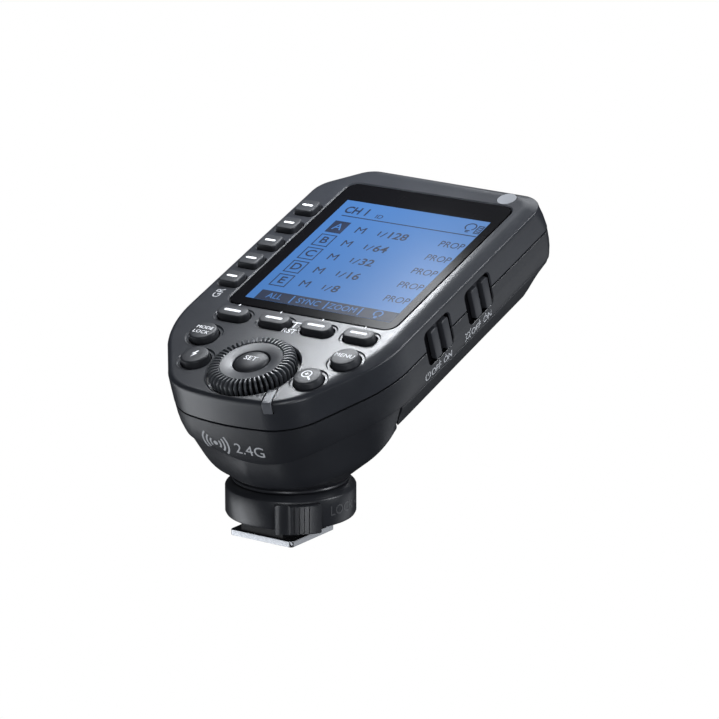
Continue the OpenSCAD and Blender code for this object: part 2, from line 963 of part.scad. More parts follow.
// Insulating block in the plate that guides the contact pins.
module contact_block() {
    color([0.05, 0.05, 0.05])
        translate([0, plate_y, 0])
            difference() {
                translate([0, -0.8, 0])
                    slab([10.1, 8.7], 0.95, 0.1, plate_t);
                for (xy = contact_xys) {
                    translate([xy[0], xy[1], -1])
                        cylinder(r = contact_r + shaft_clear, h = 5);
                }
            }
}

module contact_pins() {
    color([0.85, 0.7, 0.35])
        translate([0, plate_y, 0])
            for (xy = contact_xys) {
                translate([xy[0], xy[1], 0])
                    rotate_extrude()
                        polygon(concat(
                            arc([0, contact_r - contact_out], contact_r, -90, 0, 6),
                            [[contact_r, 3.95], [0, 3.95]]));
            }
}

module pin_springs() {
    color([0.8, 0.8, 0.8])
        translate([0, plate_y, 4.1])
            for (xy = contact_xys) {
                translate([xy[0], xy[1], 0])
                    coil(0.5, 0.13, 2, 1.7);
            }
}

module locking_pin() {
    color([0.75, 0.76, 0.78])
        translate([0, pin_y, 0])
            cylinder(r = pin_r, h = 9);
}

module case_screws() {
    color([0.5, 0.5, 0.5])
        on_panel()
            for (xu = screw_xus) {
                translate([xu[0], xu[1], 0]) {
                    post(screw_r, -wall_depth + 1.1, -4.4);
                    difference() {
                        post(screw_head_r, -wall_depth, -wall_depth + 1.2);
                        box([-1.2, -0.2, -40], [1.2, 0.2, -wall_depth + 0.6]);
                        box([-0.2, -1.2, -40], [0.2, 1.2, -wall_depth + 0.6]);
                    }
                }
            }
}

module shoe_screws() {
    color([0.6, 0.6, 0.62])
        translate([0, plate_y, 0])
            for (xy = shoe_screw_xys) {
                translate([xy[0], xy[1], 0])
                    difference() {
                        union() {
                            translate([0, 0, 0.05])
                                cylinder(r1 = 1.6, r2 = 0.9, h = 0.8);
                            cylinder(r = 0.9, h = 7.4);
                        }
                        box([-1, -0.15, -1], [1, 0.15, 0.45]);
                        box([-0.15, -1, -1], [0.15, 1, 0.45]);
                    }
            }
}

upper_case();
lower_case();
battery_cover();
display_window();
lcd_panel();
backlight();
main_board();
tact_switches();
radio_module();
antenna();
group_button(1);  // group_button_1
group_button(2);  // group_button_2
group_button(3);  // group_button_3
group_button(4);  // group_button_4
group_button(5);  // group_button_5
function_button(1);  // function_button_1
function_button(2);  // function_button_2
function_button(3);  // function_button_3
function_button(4);  // function_button_4
mode_button();
test_button();
menu_button();
zoom_button();
set_button();
select_dial();
dial_encoder();
status_light_pipe();
corner_inlay();
power_switch();
lamp_switch();
switch_bodies();
af_window();
af_led();
usb_port();
sync_jack();
battery_1();
battery_2();
battery_springs();
battery_plates();
foot_neck();
lock_ring();
ring_retainer();
shoe_plate();
contact_block();
contact_pins();
pin_springs();
locking_pin();
case_screws();
shoe_screws();
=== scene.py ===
"""Wireless flash trigger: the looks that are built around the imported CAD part.

Most pieces are drawn in millimetres in the panel's frame: x across the body, y along the body
towards the far end, z out of the screen, with z = 0 on the panel's face. The foot is drawn in
the row frame, in millimetres too. piece() moves a drawing to its place in metres.
"""

import json
import math

import bmesh
import bpy
from mathutils import Matrix, Vector
from mathutils.bvhtree import BVHTree


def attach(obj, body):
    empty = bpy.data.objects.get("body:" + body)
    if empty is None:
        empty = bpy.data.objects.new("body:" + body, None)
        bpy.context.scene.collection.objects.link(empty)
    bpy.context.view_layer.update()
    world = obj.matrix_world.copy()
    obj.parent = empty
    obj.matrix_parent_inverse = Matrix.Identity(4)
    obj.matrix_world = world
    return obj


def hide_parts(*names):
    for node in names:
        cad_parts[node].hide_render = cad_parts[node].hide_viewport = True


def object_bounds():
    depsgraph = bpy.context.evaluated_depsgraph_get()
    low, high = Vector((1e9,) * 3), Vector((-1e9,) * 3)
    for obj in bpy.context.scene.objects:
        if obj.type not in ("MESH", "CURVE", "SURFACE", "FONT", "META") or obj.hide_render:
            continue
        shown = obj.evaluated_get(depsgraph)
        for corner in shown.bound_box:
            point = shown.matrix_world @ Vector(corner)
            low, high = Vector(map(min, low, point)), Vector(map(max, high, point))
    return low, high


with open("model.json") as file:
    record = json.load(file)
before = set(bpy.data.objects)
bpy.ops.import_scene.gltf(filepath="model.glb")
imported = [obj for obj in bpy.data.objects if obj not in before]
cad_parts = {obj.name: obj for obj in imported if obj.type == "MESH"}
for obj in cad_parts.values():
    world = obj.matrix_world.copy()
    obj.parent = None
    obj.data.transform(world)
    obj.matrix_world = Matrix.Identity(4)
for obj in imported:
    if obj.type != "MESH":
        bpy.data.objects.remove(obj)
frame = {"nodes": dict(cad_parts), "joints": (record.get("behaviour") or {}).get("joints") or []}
CAD_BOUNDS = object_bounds()

# ------------------------------ frames

MM = 0.001
FOOT = Matrix.Scale(MM, 4)


def panel_matrix():
    """Millimetres in the panel's frame to metres in the row frame."""
    dial = next(j for j in frame["joints"] if j["name"] == "select_dial_turn")
    normal = Vector(dial["axis"])
    tilt = math.atan2(-normal.y, normal.z)
    top = max(v.co.dot(normal) for v in frame["nodes"]["upper_case"].data.vertices)
    lift = Matrix.Translation((0, 0, top / normal.z))
    return lift @ Matrix.Rotation(tilt, 4, "X") @ FOOT


PANEL = panel_matrix()
# Drawings on the right wall: x along the body, y up the panel's normal, z out of the wall.
WALL = PANEL @ Matrix(((0, 0, 1, 0), (1, 0, 0, 0), (0, 1, 0, 0), (0, 0, 0, 1)))


class Box:
    """A CAD node's box in millimetres, in the frame that place stands for."""

    def __init__(self, node, place=PANEL):
        back = place.inverted()
        points = [back @ v.co for v in frame["nodes"][node].data.vertices]
        self.low = Vector(min(p[i] for p in points) for i in range(3))
        self.high = Vector(max(p[i] for p in points) for i in range(3))
        self.mid = (self.low + self.high) / 2
        self.size = self.high - self.low


BODY = Box("upper_case")
LEFT, NEAR, PARTING = -BODY.low.x, -BODY.low.y, BODY.low.z
RIGHT, FAR = BODY.high.x, BODY.high.y
WINDOW = Box("display_window")
DIAL = Box("select_dial")
SET = Box("set_button")
UNDER = Box("battery_cover").low.z
RING = Box("lock_ring", FOOT)
NECK_Z = Box("lower_case", FOOT).low.z

GROOVE = 0.38         # gap between the case halves at the parting line
LEDGE = -16.5         # depth of the band's lower edge along the sides
LEDGE_DROP = 2.7      # how much lower that edge hangs at the near end
NECK_R = 14.5         # radius of the case's neck
SEAM_U = 0.5          # seam between the case and the battery cover, at the sides
SEAM_ARC_U = -26      # centre of the round seam behind the belly
SEAM_ARC_R = 37.2     # radius of the round seam behind the belly
SEAM_GAP = 0.2        # gap at the seam
COVER_T = 1.5         # thickness of the battery cover
WINDOW_CORNER = 3     # radius of the display window's corners
RECESS = -3.3         # depth of the button holes
MARK_T = 0.03         # thickness of printed marks
MARK_LIFT = 0.012     # how far a mark's middle stands off the face under it

# ------------------------------ plane shapes

LEAST_CORNER = 0.05   # the sharpest corner of a rounded rectangle that shrinks


def arc(centre, radius, start, end, steps):
    """Points along an arc, from angle start to end in degrees."""
    angles = (math.radians(start + (end - start) * i / steps) for i in range(steps + 1))
    return [(centre[0] + radius * math.cos(a), centre[1] + radius * math.sin(a)) for a in angles]


def circle(radius, count=48):
    return arc((0, 0), radius, 0, 360 * (count - 1) / count, count - 1)


def rounded_rect(width, height, radius, steps=6):
    """A rounded rectangle about the origin, counterclockwise."""
    x, y = width / 2 - radius, height / 2 - radius
    return (arc((x, y), radius, 0, 90, steps) + arc((-x, y), radius, 90, 180, steps)
            + arc((-x, -y), radius, 180, 270, steps) + arc((x, -y), radius, 270, 360, steps))


def rect_shape(size, corner, middle):
    """A rounded rectangle about a place, as a function of how far it has grown."""
    def shape(grow):
        w, h = size[0] + 2 * grow, size[1] + 2 * grow
        r = max(min(corner + grow, w / 2, h / 2), LEAST_CORNER)
        return moved(rounded_rect(w, h, r), middle[0], middle[1])
    return shape


def outline(inset, far_r=8):
    """The body seen square to the panel, drawn in by inset."""
    return (arc((-1, 69.3 - NEAR), 69.3 - inset, -97, -83, 8)
            + arc((7.6, 15.4 - NEAR), 14.8 - inset, -83, -27, 14)
            + arc((RIGHT - 32, 5), 32 - inset, -27, 0, 10)
            + arc((RIGHT - far_r, FAR - far_r), far_r - inset, 0, 90, 14)
            + arc((-20.3, FAR - 8), 8 - inset, 90, 135, 8)
            + arc((8 - LEFT, FAR - 13.5), 8 - inset, 135, 180, 8)
            + arc((32 - LEFT, 5), 32 - inset, 180, 212, 10)
            + arc((-9.8, 15 - NEAR), 14.3 - inset, 212, 262, 12))


def under_outline(inset, near=-17):
    """The flat underside, shorter than the body and set in from its walls."""
    return (arc((13 - LEFT, near + 9), 8.3 - inset, 180, 270, 8)
            + arc((RIGHT - 13, near + 9), 8.3 - inset, 270, 360, 8)
            + arc((RIGHT - 10.7, FAR - 13.1), 6 - inset, 0, 90, 8)
            + arc((-19.5, FAR - 12.1), 5 - inset, 90, 135, 5)
            + arc((9.7 - LEFT, FAR - 17.2), 5 - inset, 135, 180, 5))


def reach(polygon, centre, angle):
    """Distance from centre to the polygon's edge in a direction, for a polygon around centre."""
    cx, cy = centre
    dx, dy = math.cos(angle), math.sin(angle)
    best = 0
    for (ax, ay), (bx, by) in zip(polygon, polygon[1:] + polygon[:1]):
        ex, ey = bx - ax, by - ay
        across = dx * ey - dy * ex
        if abs(across) < 1e-9:
            continue
        along = ((ax - cx) * ey - (ay - cy) * ex) / across
        share = ((ax - cx) * dy - (ay - cy) * dx) / across
        if -1e-6 <= share <= 1 + 1e-6:
            best = max(best, along)
    return best


def seam_reach(centre, angle, gap=0.0):
    """Distance from centre to the battery cover's seam, in a direction."""
    dx, dy = math.cos(angle), math.sin(angle)
    fx, fy = centre[0], centre[1] - SEAM_ARC_U
    half = fx * dx + fy * dy
    radius = SEAM_ARC_R - gap
    round_part = -half + math.sqrt(half * half - fx * fx - fy * fy + radius * radius)
    straight = (SEAM_U - gap - centre[1]) / dy if dy > 1e-6 else 1e6
    return max(round_part, straight)


def at(points, z):
    return [(x, y, z) for x, y in points]


def moved(points, dx, dy):
    return [(x + dx, y + dy) for x, y in points]


def mix(a, b, share):
    return a * (1 - share) + b * share


def clamp(value):
    return max(0.0, min(1.0, value))


# ------------------------------ solids


def loft(rows):
    """A closed solid through rows of points that all have the same count."""
    count = len(rows[0])
    points = [p for row in rows for p in row]
    faces = []
    for k in range(len(rows) - 1):
        for i in range(count):
            j = (i + 1) % count
            faces.append((k * count + i, k * count + j, (k + 1) * count + j, (k + 1) * count + i))
    faces.append(tuple(reversed(range(count))))
    faces.append(tuple(range(len(points) - count, len(points))))
    return points, faces


def prism(points, low, high):
    return loft([at(points, low), at(points, high)])


def stack(shape, *levels):
    """A solid through a shape's outlines, for pairs of the shape's argument and height."""
    return loft([at(shape(grow), z) for grow, z in levels])


def rod(radius, x, y, low, high, count=32):
    return prism(moved(circle(radius, count), x, y), low, high)


def box(low, high):
    (a, b, c), (d, e, f) = low, high
    return prism([(a, b), (d, b), (d, e), (a, e)], c, f)


def turned(profile, steps=96):
    """A ring or disc: a closed profile of (radius, z) points turned about the z axis."""
    points, faces, count = [], [], len(profile)
    for k in range(steps):
        a = 2 * math.pi * k / steps
        points += [(r * math.cos(a), r * math.sin(a), z) for r, z in profile]
    for k in range(steps):
        n = (k + 1) % steps
        for i in range(count):
            j = (i + 1) % count
            faces.append((k * count + i, n * count + i, n * count + j, k * count + j))
    return points, faces


def shifted(form, offset, turn=0.0):
    """A form turned about the z axis, in degrees, and moved along the plane or in space."""
    offset = Vector(offset).to_3d()
    place = Matrix.Translation(offset) @ Matrix.Rotation(math.radians(turn), 4, "Z")
    return [tuple(place @ Vector(p)) for p in form[0]], form[1]


def joined(*forms):
    points, faces = [], []
    for form_points, form_faces in forms:
        start = len(points)
        points += form_points
        faces += [tuple(start + i for i in f) for f in form_faces]
    return points, faces


def new_object(name, data):
    thing = bpy.data.objects.new(name, data)
    bpy.context.scene.collection.objects.link(thing)
    return thing


def final_mesh(thing):
    return bpy.data.meshes.new_from_object(
        thing.evaluated_get(bpy.context.evaluated_depsgraph_get()))


def mesh_object(name, form, place=PANEL):
    mesh = bpy.data.meshes.new(name)
    mesh.from_pydata([place @ Vector(p) for p in form[0]], [], form[1])
    work = bmesh.new()
    work.from_mesh(mesh)
    bmesh.ops.remove_doubles(work, verts=work.verts, dist=1e-7)
    bmesh.ops.recalc_face_normals(work, faces=work.faces)
    work.to_mesh(mesh)
    work.free()
    return new_object(name, mesh)


def combine(thing, form, place=PANEL, operation="DIFFERENCE"):
    """Cuts a closed form out of a piece, or adds it, and keeps the result as its mesh."""
    tool = mesh_object("tool", form, place)
    step = thing.modifiers.new("combine", "BOOLEAN")
    step.operation, step.solver, step.object = operation, "EXACT", tool
    result = final_mesh(thing)
    thing.modifiers.clear()
    old, thing.data = thing.data, result
    result.name = thing.name
    spare = tool.data
    bpy.data.objects.remove(tool)
    for mesh in (old, spare):
        bpy.data.meshes.remove(mesh)


def dress(thing, material, body, stands_for=(), smooth=32):
    """Gives a piece its material, smooth shading, body and the nodes that it replaces."""
    thing.data.materials.clear()
    thing.data.materials.append(material)
    thing.data.polygons.foreach_set("use_smooth", [True] * len(thing.data.polygons))
    thing.data.set_sharp_from_angle(angle=math.radians(smooth))
    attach(thing, body)
    if stands_for:
        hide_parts(*stands_for)
    return thing


def piece(name, form, material, body, stands_for=(), place=PANEL, smooth=32):
    return dress(mesh_object(name, form, place), material, body, stands_for, smooth)


def even_shading(thing):
    """Keeps the large flat faces flat where they meet small rounded ones."""
    step = thing.modifiers.new("even_shading", "WEIGHTED_NORMAL")
    step.weight = 100
    step.keep_sharp = True


# ------------------------------ lettering and signs

CAPITALS = 0.73       # height of the font's capitals for a size of one


def text_form(words, height, thickness=MARK_T, stretch=1.0, weight=0.0):
    """Flat letters about the origin, as a thin solid."""
    curve = bpy.data.curves.new("letters", "FONT")
    curve.body = words
    curve.align_x, curve.align_y = "CENTER", "CENTER"
    curve.size = height / CAPITALS
    curve.extrude = thickness / 2
    curve.offset = weight
    curve.resolution_u = 3
    maker = new_object("letters", curve)
    mesh = final_mesh(maker)
    points = [(v.co.x * stretch, v.co.y, v.co.z) for v in mesh.vertices]
    faces = [tuple(p.vertices) for p in mesh.polygons]
    bpy.data.objects.remove(maker)
    bpy.data.curves.remove(curve)
    bpy.data.meshes.remove(mesh)
    return points, faces


def stroke(path, width, thickness=MARK_T):
    """A flat line of even width through points, as a thin solid."""
    left, right = [], []
    for i, (x, y) in enumerate(path):
        ax, ay = path[max(i - 1, 0)]
        bx, by = path[min(i + 1, len(path) - 1)]
        length = math.hypot(bx - ax, by - ay) or 1
        ox, oy = -(by - ay) / length * width / 2, (bx - ax) / length * width / 2
        left.append((x + ox, y + oy))
        right.append((x - ox, y - oy))
    ring = right + left[::-1]
    points = at(ring, -thickness / 2) + at(ring, thickness / 2)
    count, half = len(ring), len(path)
    faces = []
    for i in range(half - 1):
        a, b, c, d = i, i + 1, count - 2 - i, count - 1 - i
        faces.append((d, c, b, a))
        faces.append(tuple(count + k for k in (a, b, c, d)))
    for i in range(count):
        j = (i + 1) % count
        faces.append((i, j, count + j, count + i))
    return points, faces


def flat(points):
    return prism(points, -MARK_T / 2, MARK_T / 2)


def bar(width, height, radius=None):
    return flat(rounded_rect(width, height, radius or min(width, height) * 0.45, 4))


def frame_form(width, height, line):
    """An empty rectangle drawn with a line."""
    x, y = (width - line) / 2, (height - line) / 2
    level, upright = bar(width, line, 0.01), bar(line, height, 0.01)
    return joined(shifted(level, (0, y)), shifted(level, (0, -y)), shifted(upright, (x, 0)),
                  shifted(upright, (-x, 0)))


def bulb_sign(size, line):
    """A lamp bulb: a round outline on a short base."""
    r = size * 0.36
    return joined(stroke(moved(arc((0, 0), r, -55, 235, 22), 0, size * 0.12), line),
                  shifted(bar(r * 0.9, line), (0, -size * 0.3)),
                  shifted(bar(r * 0.7, line), (0, -size * 0.45)))


def power_sign(size, line):
    return joined(stroke(arc((0, 0), size / 2, -235, 55, 22), line),
                  shifted(bar(line, size * 0.5), (0, size * 0.32)))


def lamp_sign(size, line):
    """A lamp with rays."""
    rays = [shifted(bar(line, size * 0.22), (x, y), 90 * k - 45)
            for k, (x, y) in enumerate(arc((0, 0), size * 0.47, 45, 315, 3))]
    return joined(stroke(arc((0, 0), size * 0.27, 0, 360, 20), line), *rays)


def flash_sign(size):
    """A lightning bolt."""
    s = size / 2
    bolt = [(0.1 * s, s), (-0.5 * s, -0.05 * s), (-0.05 * s, -0.05 * s), (-0.25 * s, -s),
            (0.5 * s, 0.2 * s), (0.05 * s, 0.2 * s), (0.35 * s, s)]
    return flat(bolt)


def magnifier_sign(size, line):
    r = size * 0.34
    return joined(stroke(moved(arc((0, 0), r, 0, 360, 24), -size * 0.1, size * 0.1), line),
                  shifted(bar(size * 0.3, line), (-size * 0.1, size * 0.1)),
                  shifted(bar(line, size * 0.3), (-size * 0.1, size * 0.1)),
                  stroke([(size * 0.15, -size * 0.15), (size * 0.46, -size * 0.46)], line * 1.5))


def wave_sign(size, line):
    """Radio waves on both sides of a dot."""
    arcs = [stroke(arc((0, 0), size * k, middle - 42, middle + 42, 12), line)
            for k in (0.24, 0.42, 0.6) for middle in (0, 180)]
    return joined(*arcs, flat(circle(size * 0.1, 16)))


# ------------------------------ materials

GRAIN_MM = 0.25       # size of the moulded grain


def add_node(owner, kind, **values):
    """A new node with its inputs' values; an underscore in an input's name stands for a space."""
    node = owner.node_tree.nodes.new("ShaderNode" + kind)
    return fill(node, **values)


def fill(node, **values):
    for name, value in values.items():
        node.inputs[name.replace("_", " ")].default_value = value
    return node


def wire(start, output, end, socket):
    start.id_data.links.new(start.outputs[output], end.inputs[socket])


def new_material(name):
    """A material with nodes, and its shader."""
    finish = bpy.data.materials.new(name)
    finish.use_nodes = True
    return finish, finish.node_tree.nodes["Principled BSDF"]


def material(name, color, roughness, grain=0.0, mottle=0.05, metallic=0.0, specular=0.5,
             glow=None, painted_glow_strength=0.0, stretch=(1, 1, 1)):
    """A moulded or metal finish: fine grain as bump, with slow changes in tone and gloss."""
    finish, shader = new_material(name)
    fill(shader, Metallic=metallic, Specular_IOR_Level=specular)
    # A glow is painted light: the finish shines by itself, without a lamp.
    if glow:
        fill(shader, Emission_Color=(*glow, 1), Emission_Strength=painted_glow_strength)
    place = add_node(finish, "TexCoord")
    scale = add_node(finish, "Mapping", Scale=stretch)
    wire(place, "Object", scale, "Vector")
    slow = add_node(finish, "TexNoise", Scale=160, Detail=5)
    wire(scale, "Vector", slow, "Vector")

    tone = add_node(finish, "ValToRGB")
    for stop, position, change in zip(tone.color_ramp.elements, (0.3, 0.7), (-mottle, mottle)):
        stop.position = position
        stop.color = (*(c * (1 + change) for c in color), 1)
    wire(slow, "Fac", tone, "Fac")
    wire(tone, "Color", shader, "Base Color")

    gloss = add_node(finish, "MapRange", From_Min=0.25, From_Max=0.75,
                     To_Min=roughness * (1 - mottle), To_Max=min(roughness * (1 + mottle), 1))
    wire(slow, "Fac", gloss, "Value")
    wire(gloss, "Result", shader, "Roughness")

    if grain:
        fine = add_node(finish, "TexNoise", Scale=1 / (GRAIN_MM * MM), Detail=3)
        bump = add_node(finish, "Bump", Strength=grain, Distance=0.1 * MM)
        wire(scale, "Vector", fine, "Vector")
        wire(fine, "Fac", bump, "Height")
        wire(bump, "Normal", shader, "Normal")
    return finish


def lcd_material():
    """A backlit display: blue that pales towards the right."""
    finish = material("lcd_face", (0.02, 0.05, 0.12), 0.32, mottle=0.02, specular=0.04)
    shader = fill(finish.node_tree.nodes["Principled BSDF"], Emission_Strength=0.67)
    place = add_node(finish, "TexCoord")
    split = add_node(finish, "SeparateXYZ")
    across = add_node(finish, "MapRange", From_Min=WINDOW.low.x * MM, From_Max=WINDOW.high.x * MM)
    tone = add_node(finish, "ValToRGB")
    tone.color_ramp.elements[0].color = (0.055, 0.19, 0.5, 1)
    tone.color_ramp.elements[1].color = (0.15, 0.29, 0.58, 1)
    wire(place, "Object", split, "Vector")
    wire(split, "X", across, "Value")
    wire(across, "Result", tone, "Fac")
    wire(tone, "Color", shader, "Emission Color")
    return finish


# Name, colour, roughness, grain and mottle.
CASE_TOP = material("case_top_plastic", (0.03, 0.0325, 0.039), 0.3, 0.35, 0.06)
CASE_LOW = material("case_lower_plastic", (0.022, 0.0237, 0.0285), 0.38, 0.35, 0.06)
KEY = material("key_plastic", (0.03, 0.032, 0.037), 0.45, 0.25, specular=0.38)
KNOB = material("knob_plastic", (0.035, 0.037, 0.043), 0.36, 0.25)
# The dial's ribs: black plastic lightened with a painted highlight on their tops.
DIAL_RIB_HIGHLIGHT = material("dial_rib_plastic", (0.07, 0.074, 0.082), 0.3, 0.1)
DIAL_FACE = material("dial_satin_disc", (0.048, 0.051, 0.058), 0.34, 0.2)
BLACK = material("black_plastic", (0.008, 0.008, 0.009), 0.5, 0.2, 0.1, specular=0.25)
# Black for pieces put where shade falls: painted shade in the case joint, the cover's seam, the
# switch pockets, the inlay's seam and between the dial's ribs.
SHADOW = material("groove_black", (0.003, 0.003, 0.004), 0.8, mottle=0.1, specular=0.05)
GLASS = material("window_glass", (0.004, 0.004, 0.005), 0.27, mottle=0.02, specular=0.05)
LCD = lcd_material()
LCD_INK = material("lcd_ink", (0.012, 0.02, 0.045), 0.4, mottle=0.1, specular=0.1)
# The prints glow a little: painted light that keeps them bright where the lamps don't reach.
PRINT = material("white_print", (0.9, 0.91, 0.93), 0.6, mottle=0.03, specular=0.1,
                 glow=(0.9, 0.93, 1), painted_glow_strength=0.25)
GREY_PRINT = material("grey_print", (0.5, 0.51, 0.53), 0.6, mottle=0.04, specular=0.1,
                      glow=(0.9, 0.93, 1), painted_glow_strength=0.04)
LENS = material("light_pipe_plastic", (0.13, 0.136, 0.15), 0.28, 0.1, 0.08)
INLAY = material("inlay_disc", (0.25, 0.26, 0.28), 0.4, 0.2)
RING_PLASTIC = material("ring_plastic", (0.023, 0.0245, 0.029), 0.32, 0.15, 0.06)
RING_WORD = material("ring_word", (0.075, 0.077, 0.083), 0.35, 0.1)
PLATE = material("plate_metal", (0.45, 0.46, 0.48), 0.26, 0.3, 0.08, metallic=1,
                 stretch=(6, 1, 1))
STEEL = material("steel", (0.6, 0.6, 0.62), 0.25, 0.1, metallic=1)
GOLD = material("gold_contact", (0.85, 0.62, 0.28), 0.22, 0.05, metallic=1)
SPRING = material("spring_steel", (0.65, 0.66, 0.68), 0.3, 0.05, metallic=1)
BOARD = material("board_green", (0.02, 0.11, 0.05), 0.45, 0.15, 0.12)
CHIP = material("switch_grey", (0.45, 0.46, 0.46), 0.4, 0.1, 0.06)
CELL = material("cell_wrap", (0.05, 0.07, 0.12), 0.35, 0.05, 0.1)
RED = material("red_window", (0.11, 0.006, 0.008), 0.3, 0.05, 0.15, specular=0.25)
LED = material("lamp_lens", (0.7, 0.68, 0.6), 0.25, 0.05)
DIFFUSER = material("backlight_sheet", (0.75, 0.8, 0.9), 0.5, 0.05, 0.03)

for node_names, finish in (
        (("lcd_panel",), GLASS), (("backlight",), DIFFUSER), (("main_board", "antenna"), BOARD),
        (("tact_switches", "switch_bodies", "radio_module", "dial_encoder"), CHIP),
        (("af_window",), RED), (("af_led",), LED), (("usb_port", "locking_pin"), STEEL),
        (("sync_jack", "contact_block", "ring_retainer"), BLACK),
        (("battery_1", "battery_2"), CELL), (("battery_springs", "pin_springs"), SPRING),
        (("battery_plates", "case_screws", "shoe_screws"), STEEL), (("contact_pins",), GOLD)):
    for node_name in node_names:
        mesh = frame["nodes"][node_name].data
        mesh.materials.clear()
        mesh.materials.append(finish)

# ------------------------------ case


def pocket(shape, wider, depth, bottom=RECESS, dish=0.0):
    """A cutter: a hole of a shape given as a function of growth, with a dish around its mouth."""
    rows = [at(shape(0), bottom)]
    if dish:
        rows += [at(shape(0), -depth - 0.25), at(shape(0.12), -depth), at(shape(wider), -depth),
                 at(shape(wider + dish), 0)]
    else:
        rows += [at(shape(0), -depth), at(shape(wider), 0)]
    rows.append(at(shape(wider + dish), 1))
    return loft(rows)


def key_shape(b, corner, gap=0.3):
    """The shape of a key's hole."""
    shape = rect_shape(b.size, corner, b.mid)
    return lambda grow: shape(gap + grow)


FLANGE = 0.5          # how far a button's retaining flange stands out


def cap_box(node):
    """The box of a button without its retaining flange."""
    b = Box(node)
    b.size = b.size - Vector((2 * FLANGE, 2 * FLANGE, 0))
    return b


GROUPS = [cap_box(f"group_button_{i}") for i in range(1, 6)]
FUNCTIONS = [cap_box(f"function_button_{i}") for i in range(1, 5)]
ROUNDS = {f"{key}_button": cap_box(f"{key}_button") for key in ("mode", "test", "menu", "zoom")}
SWITCHES = {name: Box(name, WALL) for name in ("power_switch", "lamp_switch")}


def shoulder(x, y):
    """How much of the sloped shoulder the panel has at a place: all of it on the right."""
    return clamp((x - 12) / 9) * clamp((y + 24) / 16)


def upper_rows():
    """The upper half, from inside its rim up the walls and over the rounded edge."""
    rows = [at(outline(inset, far_r), z) for inset, far_r, z in (
        (2.2, 5, PARTING + 0.9), (2.2, 5, PARTING), (0.25, 5, PARTING),
        (0.02, 5, PARTING + 0.22), (0.04, 6, -4.5), (0.08, 7.2, -2.2))]
    # Inset and depth of the plain rounded edge, then of the sloped shoulder with its sharper edge.
    edges = ((0.1, -1.3, 0.1, -1.6), (0.14, -1, 0.13, -1.33), (0.26, -0.7, 0.22, -1.17),
             (0.42, -0.45, 0.36, -1.07), (0.66, -0.24, 0.6, -0.97), (0.93, -0.1, 1.3, -0.7),
             (1.2, -0.03, 2, -0.43), (1.5, 0, 2.7, -0.2), (1.9, 0, 3.2, -0.085),
             (2.4, 0, 3.7, -0.025), (3, 0, 4.1, -0.003), (3.6, 0, 4.5, 0))
    for inset, depth, slope_inset, slope_depth in edges:
        row = []
        for (x, y), (sx, sy) in zip(outline(inset, 7.4), outline(slope_inset, 7.4)):
            s = shoulder(x, y)
            row.append((mix(x, sx, s), mix(y, sy, s), mix(depth, slope_depth, s)))
        rows.append(row)
    return rows


POCKET_FLOOR = 28.8   # distance of the side switches' pockets from the middle plane


def pocket_shape(b):
    """The outline of a side switch's pocket, which is longer than the knob at the near end."""
    return rect_shape((11.4, 9.3), 1.5, (b.mid.x - 1.2, b.mid.y))


def cut_pockets(thing):
    """Cuts the side switches' pockets into the right wall."""
    for b in SWITCHES.values():
        combine(thing, stack(pocket_shape(b), (0, POCKET_FLOOR), (0, RIGHT - 0.35),
                             (0.3, RIGHT - 0.02), (0.3, RIGHT + 3)), WALL)


def pipe_form(grow):
    """The light pipe: a strip on the panel that bends down over its edge."""
    front, bottom = -0.35 - grow, -3.1 - grow
    back, under, end = 1.2 + grow, -1.2 - grow, 5.6 + grow
    side = [(front, bottom), (front, grow - 0.9), (-0.18 - grow, grow - 0.32), (0.15, grow - 0.05),
            (0.8, grow), (end, grow), (end, under), (back, under), (back, bottom)]
    rows = [[(x, y, z) for y, z in side] for x in (-1.15 - grow, 1.15 + grow)]
    return shifted(loft(rows), (11.85, -28.05), 17)


def build_upper():
    case = mesh_object("upper_shell", loft(upper_rows()))
    window = rect_shape((WINDOW.size.x + 0.3, WINDOW.size.y + 0.3), WINDOW_CORNER, WINDOW.mid)
    combine(case, pocket(window, 0.3, 0.3, bottom=-2.4))
    well = lambda grow: moved(circle(DIAL.size.x / 2 + 0.7 + grow, 96), DIAL.mid.x, DIAL.mid.y)
    combine(case, pocket(well, 0.45, 0.45, bottom=-2.9))
    keys = [pocket(key_shape(b, 1.1), 0.22, 0.22) for b in GROUPS]
    keys += [pocket(key_shape(b, 1.9), 0.55, 0.32, dish=0.3) for b in FUNCTIONS]
    keys += [pocket(key_shape(b, b.size.x / 2 - 0.01), 0.65, 0.35, dish=0.35)
             for b in ROUNDS.values()]
    combine(case, joined(*keys))
    combine(case, pipe_form(0.26))
    cut_pockets(case)
    even_shading(dress(case, CASE_TOP, "case", ["upper_case"]))


def ledge(x, y):
    """Depth of the band's lower edge: it hangs lower at the near end."""
    near = clamp((-12 - y) / 8)
    across = max(-1.0, min(1.0, (x - 4) / 19))
    return LEDGE - LEDGE_DROP * near * math.cos(across * math.pi / 2) ** 2


def band_rows():
    """The lower half's upright walls, down to the ledge that the belly hangs from."""
    top = PARTING - GROOVE
    rows = [at(outline(inset, 5), z) for inset, z in (
        (2.4, top - 0.8), (2.4, top), (0.14, top), (0.08, top - 0.06))]
    for share, inset in ((0.35, 0.12), (0.6, 0.3), (0.85, 0.7), (0.97, 0.95), (1.0, 1.15)):
        rows.append([(x, y, top + share * (ledge(x, y) - top)) for x, y in outline(inset, 5)])
    rows.append([(x, y, ledge(x, y) + 0.25) for x, y in outline(1.9, 4.5)])
    rows.append(at(outline(3.4, 4), LEDGE + 0.3))
    return rows


BELLY = (0.0, -9.0)   # the point that the belly is drawn round
TURN = [2 * math.pi * k / 180 for k in range(180)]


def neck_point(angle, lift=0.0, inset=0.0):
    """A point of the neck's round end, in the panel's frame."""
    r = (NECK_R - inset) * MM
    world = Vector((r * math.cos(angle), r * math.sin(angle), (NECK_Z + lift) * MM))
    return PANEL.inverted() @ world


